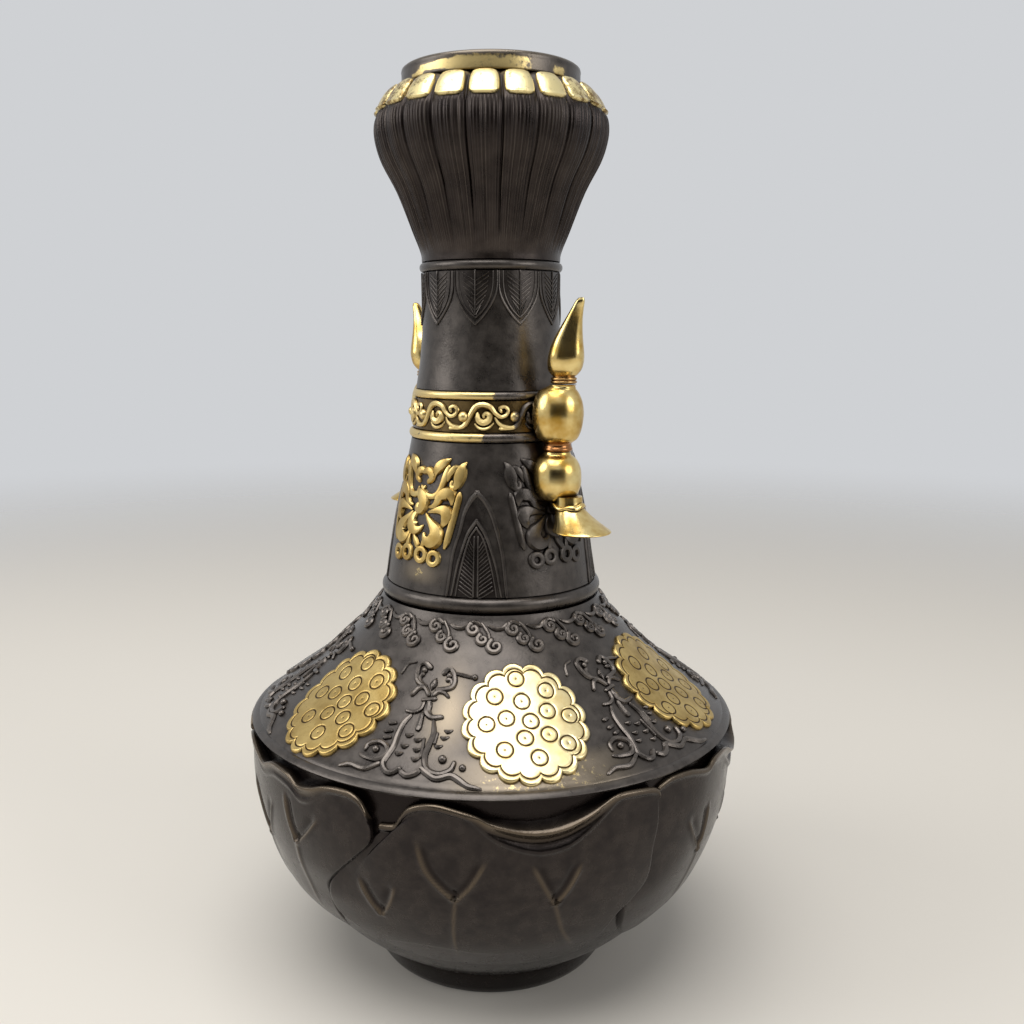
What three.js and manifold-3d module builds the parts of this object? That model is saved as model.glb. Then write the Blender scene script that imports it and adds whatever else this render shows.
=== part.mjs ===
import * as THREE from 'three';
import { mergeVertices } from 'three/addons/utils/BufferGeometryUtils.js';
import Module from 'manifold-3d';

// Two-handled bronze vase with a lotus-leaf bowl and a fluted garlic mouth.
// Millimetres, +Z up. The vase stands on z = 0 with its axis on Z. The gilt
// scroll panel faces -Y, and the handles stand on +X and -X.

// Driving dimensions
const height = 300;
const wall = 2.6;
const gap = 0.3;

// Heights of the joints between the cast sections
const footTop = 9.2;
const bowlTop = 87.2;
const shoulderTop = 128.9;
const bandFoot = 182.2;
const neckSeam = 190;
const bandTop = 198.8;
const headFoot = 239.8;
const collarFoot = 294.3;

// Radii of the seats where the sections plug into each other
const plateRadius = 36.6;
const footInner = 34;
const bowlRim = 80.8;
const neckBore = 33.5;
const baseSeat = 34.6;
const sleeveRadius = 24.2;
const seamBore = sleeveRadius - wall;
const ringSeat = 21.7;
const headBore = 20.2;
const mouthBore = 26.4;

// Repeats round the vase
const leafCount = 6;
const fluteCount = 21;
const scallopCount = 17;
const bowlSegments = 36;
const neckSegments = 28;
const shoulderSteps = 4;

// Outlines as radius and height, from the foot to the mouth
const bowlOutline = curve([[44, footTop + gap], [56.8, 20], [70.2, 36], [77, 52], [80.1, 68],
  [bowlRim, bowlTop]]);
const leafOutline = curve([[48, 10], [58, 20], [72.2, 36], [79.2, 52], [83.2, 68], [84.6, 78],
  [84.3, 86]]);
const shoulderOutline = curve([[80.9, 89.4], [71.8, 96], [60.4, 104], [51.6, 112], [43.5, 120], [38.7, 126.2],
  [37.1, shoulderTop]]);
const neckFoot = 134.4;
const lowerNeckOutline = curve([[35.8, neckFoot], [34.8, 141], [32.7, 154], [30.2, 166], [26.9, bandFoot]]);
const ringFoot = 236.2;
const upperNeckOutline = curve([[25.2, bandTop], [23.7, 209], [22.9, 221], [22.8, ringFoot]]);
const headOutline = curve([[22.9, headFoot], [26, 250.4], [30.6, 262], [35.4, 271], [37.9, 281],
  [37.2, 285.5], [34.6, 290.3], [31, 293.2], [24, 294]]);

// Lotus leaves: height of the wavy lip at an angle from the leaf's middle, in degrees,
// the angles of the side edges at the foot and at the lip, and how far the edges stand proud
const leafLip = curve([[-35, 76], [-29, 78], [-22, 85.6], [-13, 83.4], [-1, 78.4], [8, 80.6], [18, 86.2],
  [26, 84.8], [31, 79]]);
const leaf = { foot: 13, footLeft: -37, footRight: 25, lipLeft: -33, lipRight: 29 };
const leafRoot = 1.2;
const tuckShare = 0.3;
const footShare = 0.4;

// Medallions: scalloped plates bent to the shoulder, cut square to their middle
const medallion = { radius: 19.6, stretch: 1.08, scallopDepth: 1.9, r: 62, z: 103, lean: 40, thickness: 1.2 };

// Openwork panels on the lower neck, each drop as its place from the middle, its size and its turn
const panel = { low: 141, high: 177, halfLow: 14, halfHigh: 16.4, thickness: 1.2 };
const panelDrops = [[0, 9.2, 3.8, 0.3], [9.2, 9.6, 4.2, -0.5], [7, 0.4, 4.6, 2.3], [5.6, -10, 4, 0.9]];

// Flutes of the mouth, and the share of its outline where the gilt petals end at the collar
const flute = { depth: 1.3, phase: 55.8, columns: [0, 0.26, 0.74] };
const headRows = 8;
const crownTop = 0.888;
const petalThickness = 1.1;

// Handle castings: reach is the distance of their axis from the vase's axis
const flame = { reach: 35.7, radius: 5.8, low: 203.6, high: 227.6, lean: 7 };
const upperBead = { reach: 33.2, radius: 8.1, neck: 4.1, neckLow: 197, low: 183, high: 201 };
const lowerBead = { reach: 33, radius: 7.85, low: 163.6, high: 179.3 };
const bell = { reach: 38.9, top: 4.2, foot: 9.2, low: 155.3, high: 163.2, lean: 6.1 };
const waist = { flameFoot: 201.3, beadFoot: 180, bellTop: 167.5, bellLow: 162.2 };
const peg = { radius: 2, length: 3.4, bellReach: 36.5, bellTop: 168 };
const handleSegments = 12;

const wasm = await Module();
wasm.setup();

// A smooth outline through a few points
function curve(points) {
  return new THREE.SplineCurve(points.map(([x, y]) => new THREE.Vector2(x, y)));
}

// Evenly spaced [x, y] points of an outline, pushed sideways by an offset
function trace(outline, steps, offset = 0) {
  const points = [];
  for (let i = 0; i <= steps; i += 1) {
    const at = outline.getPoint(i / steps);
    const along = outline.getTangent(i / steps);
    points.push([at.x + along.y * offset, at.y - along.x * offset]);
  }
  return points;
}

// Value of an outline read across: the other coordinate where one of them reaches a value
function readAcross(outline, value, given, wanted) {
  const points = outline.getPoints(120);
  const last = points.length - 1;
  for (let i = 0; i < last; i += 1) {
    const a = points[i];
    const b = points[i + 1];
    if (value <= b[given] || i === last - 1) {
      const share = (value - a[given]) / (b[given] - a[given]);
      return THREE.MathUtils.lerp(a[wanted], b[wanted], Math.max(share, 0));
    }
  }
  return points[last][wanted];
}

const radiusAt = (outline, z) => readAcross(outline, z, 'y', 'x');
const lipAt = (angle) => readAcross(leafLip, angle, 'x', 'y');

// A point at an angle round the vase, from -Y towards +X
function polar(radius, degrees, z) {
  const angle = THREE.MathUtils.degToRad(degrees);
  return new THREE.Vector3(radius * Math.sin(angle), -radius * Math.cos(angle), z);
}

// A closed geometry as a solid that can be cut and joined
function toSolid(geometry) {
  const plain = new THREE.BufferGeometry();
  plain.setAttribute('position', geometry.getAttribute('position'));
  plain.setIndex(geometry.getIndex());
  const merged = mergeVertices(plain, 1e-4);
  const index = merged.getIndex().array;
  const triVerts = [];
  for (let i = 0; i < index.length; i += 3) {
    const [a, b, c] = index.slice(i, i + 3);
    if (a !== b && b !== c && c !== a) triVerts.push(a, b, c);
  }
  const vertProperties = merged.getAttribute('position').array;
  const mesh = new wasm.Mesh({ numProp: 3, vertProperties, triVerts: new Uint32Array(triVerts) });
  return new wasm.Manifold(mesh);
}

// A finished solid as a geometry
function toGeometry(solid) {
  const mesh = solid.getMesh();
  const geometry = new THREE.BufferGeometry();
  geometry.setAttribute('position', new THREE.BufferAttribute(mesh.vertProperties, 3));
  geometry.setIndex(new THREE.BufferAttribute(mesh.triVerts, 1));
  return geometry;
}

// A turned solid from [radius, height] points, listed up the outside and down the inside
function revolve(points, segments = neckSegments) {
  const geometry = new THREE.LatheGeometry(points.map(([r, z]) => new THREE.Vector2(r, z)), segments);
  geometry.rotateX(Math.PI / 2);
  return toSolid(geometry);
}

// A turned ring: the profile closes on itself
function revolveRing(points, segments = neckSegments) {
  return revolve([...points, points[0]], segments);
}

// A skin through closed sections; the ends are capped unless the sections run round in a ring
function loft(sections, ring = false) {
  const count = sections[0].length;
  const index = [];
  const spans = ring ? sections.length : sections.length - 1;
  for (let j = 0; j < spans; j += 1) {
    const next = (j + 1) % sections.length;
    for (let i = 0; i < count; i += 1) {
      const a = j * count + i;
      const b = j * count + (i + 1) % count;
      const c = next * count + i;
      const d = next * count + (i + 1) % count;
      index.push(a, b, d, a, d, c);
    }
  }
  const top = (sections.length - 1) * count;
  for (let i = 0; !ring && i < Math.floor(count / 2); i += 1) {
    const far = count - 1 - i;
    index.push(i, far - 1, i + 1, i, far, far - 1);
    index.push(top + i, top + i + 1, top + far - 1, top + i, top + far - 1, top + far);
  }
  const geometry = new THREE.BufferGeometry().setFromPoints(sections.flat());
  geometry.setIndex(index);
  return toSolid(geometry);
}

// A straight prism of a flat outline, standing on z = 0
function prism(shape, depth) {
  return toSolid(new THREE.ExtrudeGeometry(shape, { depth, bevelEnabled: false, curveSegments: 3 }));
}

// Moves and turns a solid
function place(solid, matrix) {
  return solid.transform(matrix.elements);
}

function turned(solid, degrees) {
  return place(solid, new THREE.Matrix4().makeRotationZ(THREE.MathUtils.degToRad(degrees)));
}

const vase = new THREE.Group();
vase.name = 'two_handled_vase';

const bronze = { color: 0x3b3431, roughness: 0.46, metalness: 0.8 };
const gilding = { color: 0xd8b25a, roughness: 0.3, metalness: 1 };
const wornGilding = { color: 0xa88a48, roughness: 0.42, metalness: 0.9 };

function add(name, solid, finish) {
  const mesh = new THREE.Mesh(toGeometry(solid), new THREE.MeshStandardMaterial(finish));
  mesh.name = name;
  vase.add(mesh);
}

// Foot ring: a turned ring with a ledge inside for the base plate
const ledge = 5.7;
add('foot_ring', revolveRing([[footInner, 0], [39.4, 0], [41.2, 3], [42.2, 6], [43.6, footTop],
  [plateRadius + gap, footTop], [plateRadius + gap, ledge], [footInner, ledge]]), bronze);

// Base plate: a disc that drops on the ledge
const plateTop = 8.2;
add('base_plate', revolve([[0, ledge + gap], [plateRadius, ledge + gap], [plateRadius, plateTop],
  [0, plateTop]]), bronze);

// One lotus leaf: a blade over the bowl whose left edge tucks under its neighbour
function leafBlade() {
  const columns = 10;
  const rows = 4;
  const sections = [];
  for (let j = 0; j <= rows; j += 1) {
    const t = j / rows;
    const left = THREE.MathUtils.lerp(leaf.footLeft, leaf.lipLeft, t);
    const right = THREE.MathUtils.lerp(leaf.footRight, leaf.lipRight, t);
    const outer = [];
    const inner = [];
    for (let i = 0; i <= columns; i += 1) {
      const angle = THREE.MathUtils.lerp(left, right, i / columns);
      const z = THREE.MathUtils.lerp(leaf.foot, lipAt(angle), t);
      const body = radiusAt(bowlOutline, z);
      const share = (i === 0 ? tuckShare : 1) * (j === 0 ? footShare : 1);
      const proud = (radiusAt(leafOutline, z) - body) * share;
      outer.push(polar(body + proud, angle, z));
      inner.unshift(polar(body - leafRoot, angle, z));
    }
    sections.push([...outer, ...inner]);
  }
  return loft(sections);
}

// Bowl: a cast shell with six leaves, and a short spigot that drops on the base plate
const spigotFoot = plateTop + gap;
const bowlOutside = trace(bowlOutline, 6);
const bowlInside = trace(bowlOutline, 4, -wall).reverse();
bowlInside[0][1] = bowlTop;
let bowl = revolveRing([[footInner, spigotFoot], [plateRadius, spigotFoot], [plateRadius, footTop + gap],
  ...bowlOutside, ...bowlInside.slice(0, -1), [footInner, footTop + wall]], bowlSegments);
for (let k = 0; k < leafCount; k += 1) {
  bowl = bowl.add(turned(leafBlade(), k * 360 / leafCount));
}
add('leaf_bowl', bowl, bronze);

// Shoulder: a cone with an overhanging edge, a spigot into the bowl and a bore for the neck
const shoulderEdge = 82.4;
const boreFoot = 124.4;
const spigotRim = bowlRim - wall - gap;
const spigotInner = spigotRim - 2.4;
const shoulderUnder = trace(shoulderOutline, 2, -wall).reverse().slice(1, -1);
add('shoulder', revolveRing([[spigotInner, 84], [spigotRim, 84], [spigotRim, bowlTop + gap],
  [shoulderEdge, bowlTop + gap], ...trace(shoulderOutline, shoulderSteps), [neckBore, shoulderTop],
  [neckBore, boreFoot], ...shoulderUnder, [spigotInner, 87.4]], bowlSegments), bronze);

// Medallions: a scalloped disc cut out of a thin shell that follows the shoulder
const shoulderLower = trace(shoulderOutline, shoulderSteps, gap).reverse();
const shoulderUpper = trace(shoulderOutline, shoulderSteps, gap + medallion.thickness);
const shoulderSkin = revolveRing([...shoulderUpper, ...shoulderLower], bowlSegments);

function scallopedDisc() {
  const outline = new THREE.Shape();
  const steps = scallopCount * 3;
  const depth = 16;
  for (let i = 0; i < steps; i += 1) {
    const angle = (i / steps) * Math.PI * 2;
    const lobe = Math.abs(Math.sin(angle * scallopCount / 2)) ** 0.6;
    const radius = medallion.radius - medallion.scallopDepth * (1 - lobe);
    if (i === 0) outline.moveTo(radius, 0);
    else outline.lineTo(radius * Math.cos(angle), radius * medallion.stretch * Math.sin(angle));
  }
  return place(prism(outline, depth), new THREE.Matrix4().makeTranslation(0, 0, -depth / 2));
}

const lean = new THREE.Matrix4().makeRotationX(THREE.MathUtils.degToRad(medallion.lean));
const toSpot = new THREE.Matrix4().makeTranslation(0, -medallion.r, medallion.z);
const plate = shoulderSkin.intersect(place(place(scallopedDisc(), lean), toSpot));
for (let k = 0; k < leafCount; k += 1) {
  add(`lotus_pod_medallion_${k + 1}`, turned(plate, k * 360 / leafCount), k < 2 ? gilding : wornGilding);
}

// A half-round ring over a joint
function halfRound(inner, outer, low, high) {
  const middle = (low + high) / 2;
  const half = (high - low) / 2;
  const flat = half * 0.8;
  return revolveRing([[inner, low], [outer - flat, low], [outer, middle], [outer - flat, high],
    [inner, high]]);
}

add('neck_base_ring', halfRound(baseSeat + gap, 37.5, shoulderTop + gap, neckFoot - gap), bronze);

// Lower neck: a tapered tube with a spigot into the shoulder and a slim top for the band
const neckSpigot = neckBore - gap;
const neckSpigotBore = neckSpigot - 2.2;
const lowerNeckInside = trace(lowerNeckOutline, 2, -wall).reverse();
add('neck_lower', revolveRing([[neckSpigotBore, boreFoot], [neckSpigot, boreFoot],
  [neckSpigot, shoulderTop + gap], [baseSeat, shoulderTop + gap], [baseSeat, neckFoot],
  ...trace(lowerNeckOutline, 3), [sleeveRadius, bandFoot], [sleeveRadius, neckSeam],
  [seamBore, neckSeam], [seamBore, bandFoot], ...lowerNeckInside.slice(1, -1),
  [neckSpigotBore, neckFoot]]), bronze);

// Scroll panels: a lobed plate pierced with curled drops, cut out of a thin shell that follows the neck
const neckSkin = revolveRing([...trace(lowerNeckOutline, 3, gap + panel.thickness),
  ...trace(lowerNeckOutline, 3, gap).reverse()]);

// A drop with a bent tip, mirrored by a side of -1
function curledDrop(x, z, size, turn, side) {
  const at = (u, v) => {
    const across = u * Math.cos(turn) - v * Math.sin(turn);
    return [side * (x + size * across), z + size * (u * Math.sin(turn) + v * Math.cos(turn))];
  };
  const hole = new THREE.Path();
  hole.moveTo(...at(0.4, 1.1));
  hole.bezierCurveTo(...at(-0.5, 0.9), ...at(-0.75, 0.1), ...at(-0.6, -0.4));
  hole.bezierCurveTo(...at(-0.35, -1), ...at(0.6, -1), ...at(0.6, -0.3));
  hole.bezierCurveTo(...at(0.6, 0.1), ...at(0, 0.3), ...at(0.4, 1.1));
  return hole;
}

function openworkPanel() {
  const shape = new THREE.Shape();
  const middle = (panel.low + panel.high) / 2;
  shape.moveTo(-panel.halfLow, panel.low + 1);
  shape.quadraticCurveTo(-panel.halfLow / 2, panel.low - 2, 0, panel.low + 0.6);
  shape.quadraticCurveTo(panel.halfLow / 2, panel.low - 2, panel.halfLow, panel.low + 1);
  shape.lineTo(panel.halfHigh, panel.high - 1);
  shape.quadraticCurveTo(panel.halfHigh / 2, panel.high + 1.6, 0, panel.high - 1.6);
  shape.quadraticCurveTo(-panel.halfHigh / 2, panel.high + 1.6, -panel.halfHigh, panel.high - 1);
  for (const [x, z, size, turn] of panelDrops) {
    for (const side of x === 0 ? [1] : [1, -1]) {
      shape.holes.push(curledDrop(x, middle + z, size, turn, side));
    }
  }
  const upright = new THREE.Matrix4().makeRotationX(Math.PI / 2);
  return neckSkin.intersect(place(prism(shape, 60), upright));
}

const openwork = openworkPanel();
['front', 'right', 'back', 'left'].forEach((side, k) => {
  add(`scroll_panel_${side}`, turned(openwork, k * 90), k === 0 ? gilding : bronze);
});

// Band over the middle joint: a sleeve between two half-round rings
const bandBore = sleeveRadius + gap;
const sleeve = { foot: 26.5, top: 25.5, low: 185.8, high: 195.6 };
const lowerRingRadius = 27.7;
const upperRingRadius = 26.3;
add('band_ring_lower', halfRound(bandBore, lowerRingRadius, bandFoot + gap, sleeve.low - gap), wornGilding);
add('scroll_band', revolveRing([[bandBore, sleeve.low], [sleeve.foot, sleeve.low],
  [sleeve.top, sleeve.high], [bandBore, sleeve.high]]), gilding);
add('band_ring_upper', halfRound(bandBore, upperRingRadius, sleeve.high + gap, bandTop - gap), wornGilding);

// Upper neck: a slim tube with a spigot into the lower neck
const upperSpigot = { foot: 184.5, bore: 19.6 };
const upperNeckInside = trace(upperNeckOutline, 1, -wall).reverse();
add('neck_upper', revolveRing([[upperSpigot.bore, upperSpigot.foot], [seamBore - gap, upperSpigot.foot],
  [seamBore - gap, neckSeam + gap], [sleeveRadius, neckSeam + gap], [sleeveRadius, bandTop],
  ...trace(upperNeckOutline, 3), [ringSeat, ringFoot], [ringSeat, headFoot - gap], [headBore, headFoot - gap],
  ...upperNeckInside.slice(0, -1), [upperSpigot.bore, bandTop]]), bronze);

add('neck_top_ring', halfRound(ringSeat + gap, 23.6, ringFoot + gap, headFoot - gap), bronze);

// Lotus head: a fluted bulb, hollow, with a spigot into the upper neck
const headColumns = fluteCount * flute.columns.length;

function columnAngle(i) {
  const inFlute = flute.columns[i % flute.columns.length];
  return flute.phase + (Math.floor(i / flute.columns.length) + inFlute) * 360 / fluteCount;
}

function fluteCut(degrees) {
  const turn = THREE.MathUtils.degToRad((degrees - flute.phase) * fluteCount / 2);
  return 1 - Math.abs(Math.sin(turn)) ** 0.7;
}

function headPoint(share, degrees, offset) {
  const at = headOutline.getPoint(share);
  const along = headOutline.getTangent(share);
  const fade = THREE.MathUtils.smoothstep(at.y, headFoot + 1, headFoot + 14)
    * (1 - THREE.MathUtils.smoothstep(share, 0.75, crownTop));
  const radius = at.x - flute.depth * fade * fluteCut(degrees) + along.y * offset;
  return polar(radius, degrees, at.y - along.x * offset);
}

const headSections = [];
for (let j = 0; j <= headRows; j += 1) {
  const section = [];
  for (let i = 0; i < headColumns; i += 1) {
    section.push(headPoint(j / headRows, columnAngle(i), 0));
  }
  headSections.push(section);
}
const throatRadius = 17.8;
const spigotLow = 234.6;
const headHollow = revolve([[0, headFoot - 1], [throatRadius, headFoot - 1], [19.6, 243], [27.8, 263],
  [32.4, 272.5], [34, 281.5], [32.6, 287.6], [mouthBore, 290.8], [mouthBore, 296], [0, 296]]);
const headSpigot = revolve([[0, spigotLow], [headBore - gap, spigotLow], [headBore - gap, headFoot + 2],
  [0, headFoot + 2]]);
const throat = revolve([[0, spigotLow - 1], [throatRadius, spigotLow - 1], [throatRadius, headFoot],
  [0, headFoot]]);
add('lotus_head', loft(headSections).add(headSpigot).subtract(headHollow).subtract(throat), bronze);

// Petal crown: gilt petals on the lobes of the head round the collar, joined by a thin web in the grooves
const petalRows = [0.635, 0.7, 6.5 / headRows, crownTop];
const webRows = [0.67, 0.72, 6.5 / headRows, crownTop];
const webThickness = 0.4;
const crownSections = [];
for (let i = 0; i < headColumns; i += 1) {
  const inGroove = i % flute.columns.length === 0;
  const rows = inGroove ? webRows : petalRows;
  const thickness = inGroove ? webThickness : petalThickness;
  const over = rows.map((share) => headPoint(share, columnAngle(i), gap + thickness));
  const under = rows.map((share) => headPoint(share, columnAngle(i), gap));
  crownSections.push([...over.reverse(), ...under]);
}
add('petal_crown', loft(crownSections, true), gilding);

// Rim collar: the upright mouth with a rounded lip and a spigot into the head
const collarRadius = 29;
const collarBore = 26;
const collarSpigot = { foot: 290, bore: 23.8 };
add('rim_collar', revolveRing([[collarSpigot.bore, collarSpigot.foot], [mouthBore - gap, collarSpigot.foot],
  [mouthBore - gap, collarFoot], [collarRadius, collarFoot], [collarRadius, height - 1.2],
  [collarRadius - 0.9, height], [collarBore, height], [collarBore, collarFoot + 1.2],
  [collarSpigot.bore, collarFoot - 0.8]]), bronze);

// Everything that the handles lie against, grown by the gap
const handleClearance = revolve([[0, 140], ...trace(lowerNeckOutline, 4, gap * 2 + panel.thickness).slice(1),
  [lowerRingRadius + 0.4, bandFoot], [lowerRingRadius + 0.4, sleeve.low],
  [sleeve.foot + 0.4, sleeve.low],
  [sleeve.top + 0.4, sleeve.high], [upperRingRadius + 0.4, sleeve.high],
  [upperRingRadius + 0.4, bandTop + 0.4], [25.6, bandTop + 0.4], [25, 204], [0, 204]]);

// A round casting of a handle from [radius, height] points on its own axis
function handleTurning(points, reach, segments = handleSegments) {
  return place(revolve(points, segments), new THREE.Matrix4().makeTranslation(reach, 0, 0));
}

function ballPoints(bead, steps) {
  const middle = (bead.low + bead.high) / 2;
  const half = (bead.high - bead.low) / 2;
  const points = [];
  for (let i = 1; i < steps; i += 1) {
    const angle = -Math.PI / 2 + (i / steps) * Math.PI;
    points.push([bead.radius * Math.cos(angle), middle + half * Math.sin(angle)]);
  }
  return points;
}

// A peg, or its socket when the radius grows by the gap
function pin(reach, low, high, extra = 0) {
  const radius = peg.radius + extra;
  return handleTurning([[0, low], [radius, low], [radius, high], [0, high]], reach, 6);
}

// A skin through round sections, each given as its middle, radius and height, with soft ridges
function roundLoft(rows, sectionAt) {
  const sides = 12;
  const sections = [];
  for (let j = 0; j <= rows; j += 1) {
    const { middle, radius, z, ridge } = sectionAt(j / rows);
    const section = [];
    for (let i = 0; i < sides; i += 1) {
      const angle = (i / sides) * Math.PI * 2;
      const reach = radius * (1 + ridge * Math.cos(angle * 4));
      section.push(new THREE.Vector3(middle + reach * Math.cos(angle), reach * Math.sin(angle), z));
    }
    sections.push(section);
  }
  return loft(sections);
}

// Flame bud: four soft ridges and a tip that leans outwards, on a collar with a peg below
function flameBud() {
  const tip = 0.16;
  const bud = roundLoft(6, (t) => {
    const swell = Math.sin(Math.PI * (t * 1.55 + 0.22)) ** 0.8;
    const taper = THREE.MathUtils.lerp(1, tip, THREE.MathUtils.smoothstep(t, 0.2, 1));
    return {
      middle: flame.reach + flame.lean * t ** 1.3,
      radius: flame.radius * (t < 0.3 ? swell : taper),
      z: THREE.MathUtils.lerp(flame.low, flame.high, t),
      ridge: 0.07 * Math.sin(Math.PI * t),
    };
  });
  const foot = waist.flameFoot;
  const collar = handleTurning([[0, foot], [4, foot], [3.7, foot + 1.1], [4, foot + 3.1], [0, foot + 3.1]],
    flame.reach);
  return bud.add(collar).add(pin(flame.reach, foot - peg.length, foot + 1));
}

// Bell foot: round above, spreading outwards to a flat disc, cut to fit under the lower bead, with a peg
function bellFoot() {
  const flare = roundLoft(4, (t) => {
    const spread = (1 - t) ** 2;
    return {
      middle: bell.reach + bell.lean * spread,
      radius: THREE.MathUtils.lerp(bell.top, bell.foot, spread),
      z: THREE.MathUtils.lerp(bell.low, bell.high, t),
      ridge: 0,
    };
  });
  const collar = handleTurning([[0, waist.bellLow], [4.3, waist.bellLow], [4.8, waist.bellLow + 1.6],
    [4.2, waist.bellTop], [0, waist.bellTop]], bell.reach);
  const grown = { radius: lowerBead.radius + gap, low: lowerBead.low - gap, high: lowerBead.high + gap };
  const bead = handleTurning([[0, grown.low], ...ballPoints(grown, 7), [0, grown.high]], lowerBead.reach);
  return flare.add(collar).subtract(bead).add(pin(peg.bellReach, waist.bellLow + 0.6, peg.bellTop));
}

// Beads: an ovoid and a ball with sockets for the pegs, cut to lie against the neck
const lowerBeadTop = waist.beadFoot - gap;
const upperBody = handleTurning([[0, waist.beadFoot], [4.5, waist.beadFoot], [4.3, waist.beadFoot + 1.6],
  [4.7, upperBead.low + 0.4], ...ballPoints(upperBead, 7), [0, upperBead.high]], upperBead.reach);
const upperBeadNeck = handleTurning([[0, upperBead.neckLow], [upperBead.neck, upperBead.neckLow],
  [upperBead.neck, upperBead.high], [0, upperBead.high]], flame.reach);
const lowerBody = handleTurning([[0, lowerBead.low], ...ballPoints(lowerBead, 7), [4.3, lowerBeadTop],
  [0, lowerBeadTop]], lowerBead.reach);
const upperSocket = pin(flame.reach, waist.flameFoot - peg.length - gap, upperBead.high + 9, gap);
const jointPeg = pin(lowerBead.reach, lowerBeadTop - peg.length, waist.beadFoot + 1.2);
const jointSocket = pin(lowerBead.reach, lowerBeadTop - peg.length - gap, waist.beadFoot + 5, gap);
const lowerSocket = pin(peg.bellReach, waist.bellLow, peg.bellTop + gap, gap);
const castings = {
  flame_bud: flameBud(),
  upper_bead: upperBody.add(upperBeadNeck).subtract(upperSocket).add(jointPeg).subtract(handleClearance),
  lower_bead: lowerBody.subtract(jointSocket).subtract(lowerSocket).subtract(handleClearance),
  bell_foot: bellFoot().subtract(handleClearance),
};
for (const [side, degrees] of [['right', 0], ['left', 180]]) {
  for (const [part, solid] of Object.entries(castings)) {
    add(`handle_${part}_${side}`, turned(solid, degrees), gilding);
  }
}

export default vase;
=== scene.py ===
# Two-handled bronze vase: a lotus-leaf bowl, a conical shoulder with gilt medallions, a tall neck
# with beaded handles and a fluted garlic mouth. Shapes are drawn in millimetres and brought to
# metres when a piece is finished. Angles are degrees round the vase, from -Y towards +X.
import math

import bmesh
import bpy
import numpy as np
from mathutils import Matrix, Vector


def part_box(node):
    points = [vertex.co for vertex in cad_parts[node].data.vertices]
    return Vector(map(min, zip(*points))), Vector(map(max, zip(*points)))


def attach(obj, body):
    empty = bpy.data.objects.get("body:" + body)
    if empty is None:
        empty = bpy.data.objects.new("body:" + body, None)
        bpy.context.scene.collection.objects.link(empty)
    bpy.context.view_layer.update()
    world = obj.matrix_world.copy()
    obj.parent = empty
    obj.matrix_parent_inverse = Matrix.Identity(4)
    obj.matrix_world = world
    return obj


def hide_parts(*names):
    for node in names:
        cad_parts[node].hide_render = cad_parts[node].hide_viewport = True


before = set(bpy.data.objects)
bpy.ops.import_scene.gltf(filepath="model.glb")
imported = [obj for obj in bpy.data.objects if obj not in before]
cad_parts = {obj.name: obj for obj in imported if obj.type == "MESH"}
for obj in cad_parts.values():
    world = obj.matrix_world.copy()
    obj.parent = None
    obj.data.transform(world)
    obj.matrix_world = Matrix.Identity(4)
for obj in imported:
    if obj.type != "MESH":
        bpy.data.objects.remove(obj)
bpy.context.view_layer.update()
mm = 0.001


def spanOf(node):  # lowest and highest point of a CAD node in millimetres
    low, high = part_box(node)
    return low.z / mm, high.z / mm


def smoothLine(points, steps=12):  # a soft curve through a few points of any dimension
    knots = [np.array(p, float) for p in points]
    knots = [2 * knots[0] - knots[1], *knots, 2 * knots[-1] - knots[-2]]
    line = []
    for a, b, c, d in zip(knots, knots[1:], knots[2:], knots[3:]):
        for i in range(steps):
            t = i / steps
            line.append(b + 0.5 * t * (c - a + t * (2 * a - 5 * b + 4 * c - d + t * (3 * (b - c) + d - a))))
    line.append(knots[-2])
    return np.array(line)


def distances(line):  # running length along a line
    steps = np.linalg.norm(np.diff(line, axis=0), axis=1)
    return np.concatenate(([0], np.cumsum(steps)))


def evenLine(points, shares):  # places on a soft curve at shares of its length
    line = smoothLine(points)
    along = distances(line)
    shares = np.asarray(shares) * along[-1]
    return np.column_stack([np.interp(shares, along, line[:, k]) for k in range(line.shape[1])])


def softStep(low, high, value):  # 0 below low and 1 above high
    t = np.clip((value - low) / (high - low), 0, 1)
    return t * t * (3 - 2 * t)


def makeSkin(points, byArc=False):  # an outline that ornaments can be laid on
    line = smoothLine(points)
    arc = distances(line)
    along = np.gradient(line, arc, axis=0)
    return {"line": line, "out": np.column_stack((along[:, 1], -along[:, 0])),
            "measure": arc if byArc else line[:, 1]}


def onSkin(skin, degrees, x, up, lift=0.0):  # x runs round the vase and up follows the outline
    r, z = (np.interp(up, skin["measure"], skin["line"][:, k]) for k in (0, 1))
    outR, outZ = (np.interp(up, skin["measure"], skin["out"][:, k]) for k in (0, 1))
    turn = np.radians(degrees) + x / r
    reach, height = r + lift * outR, z + lift * outZ
    return np.stack(np.broadcast_arrays(reach * np.sin(turn), -reach * np.cos(turn), height), axis=-1)


def radiusAt(skin, z):
    return np.interp(z, skin["line"][:, 1], skin["line"][:, 0])


# Shapes: each helper returns a bmesh in millimetres

def spun(profile, segments, closed=True):  # a turned shape from radius and height points
    bm = bmesh.new()
    verts = [bm.verts.new((r, 0, z)) for r, z in profile]
    edges = [bm.edges.new(pair) for pair in zip(verts, verts[1:])]
    if closed:
        edges.append(bm.edges.new((verts[-1], verts[0])))
    bmesh.ops.spin(bm, geom=verts + edges, axis=(0, 0, 1), cent=(0, 0, 0), steps=segments,
                   angle=2 * math.pi, use_merge=True)
    bmesh.ops.remove_doubles(bm, verts=bm.verts, dist=1e-4)
    bmesh.ops.recalc_face_normals(bm, faces=bm.faces)
    return bm


def places(bm):  # where the vertices are
    return np.array([v.co for v in bm.verts])


def moveTo(bm, points):
    for v, point in zip(bm.verts, points):
        v.co = point


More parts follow.
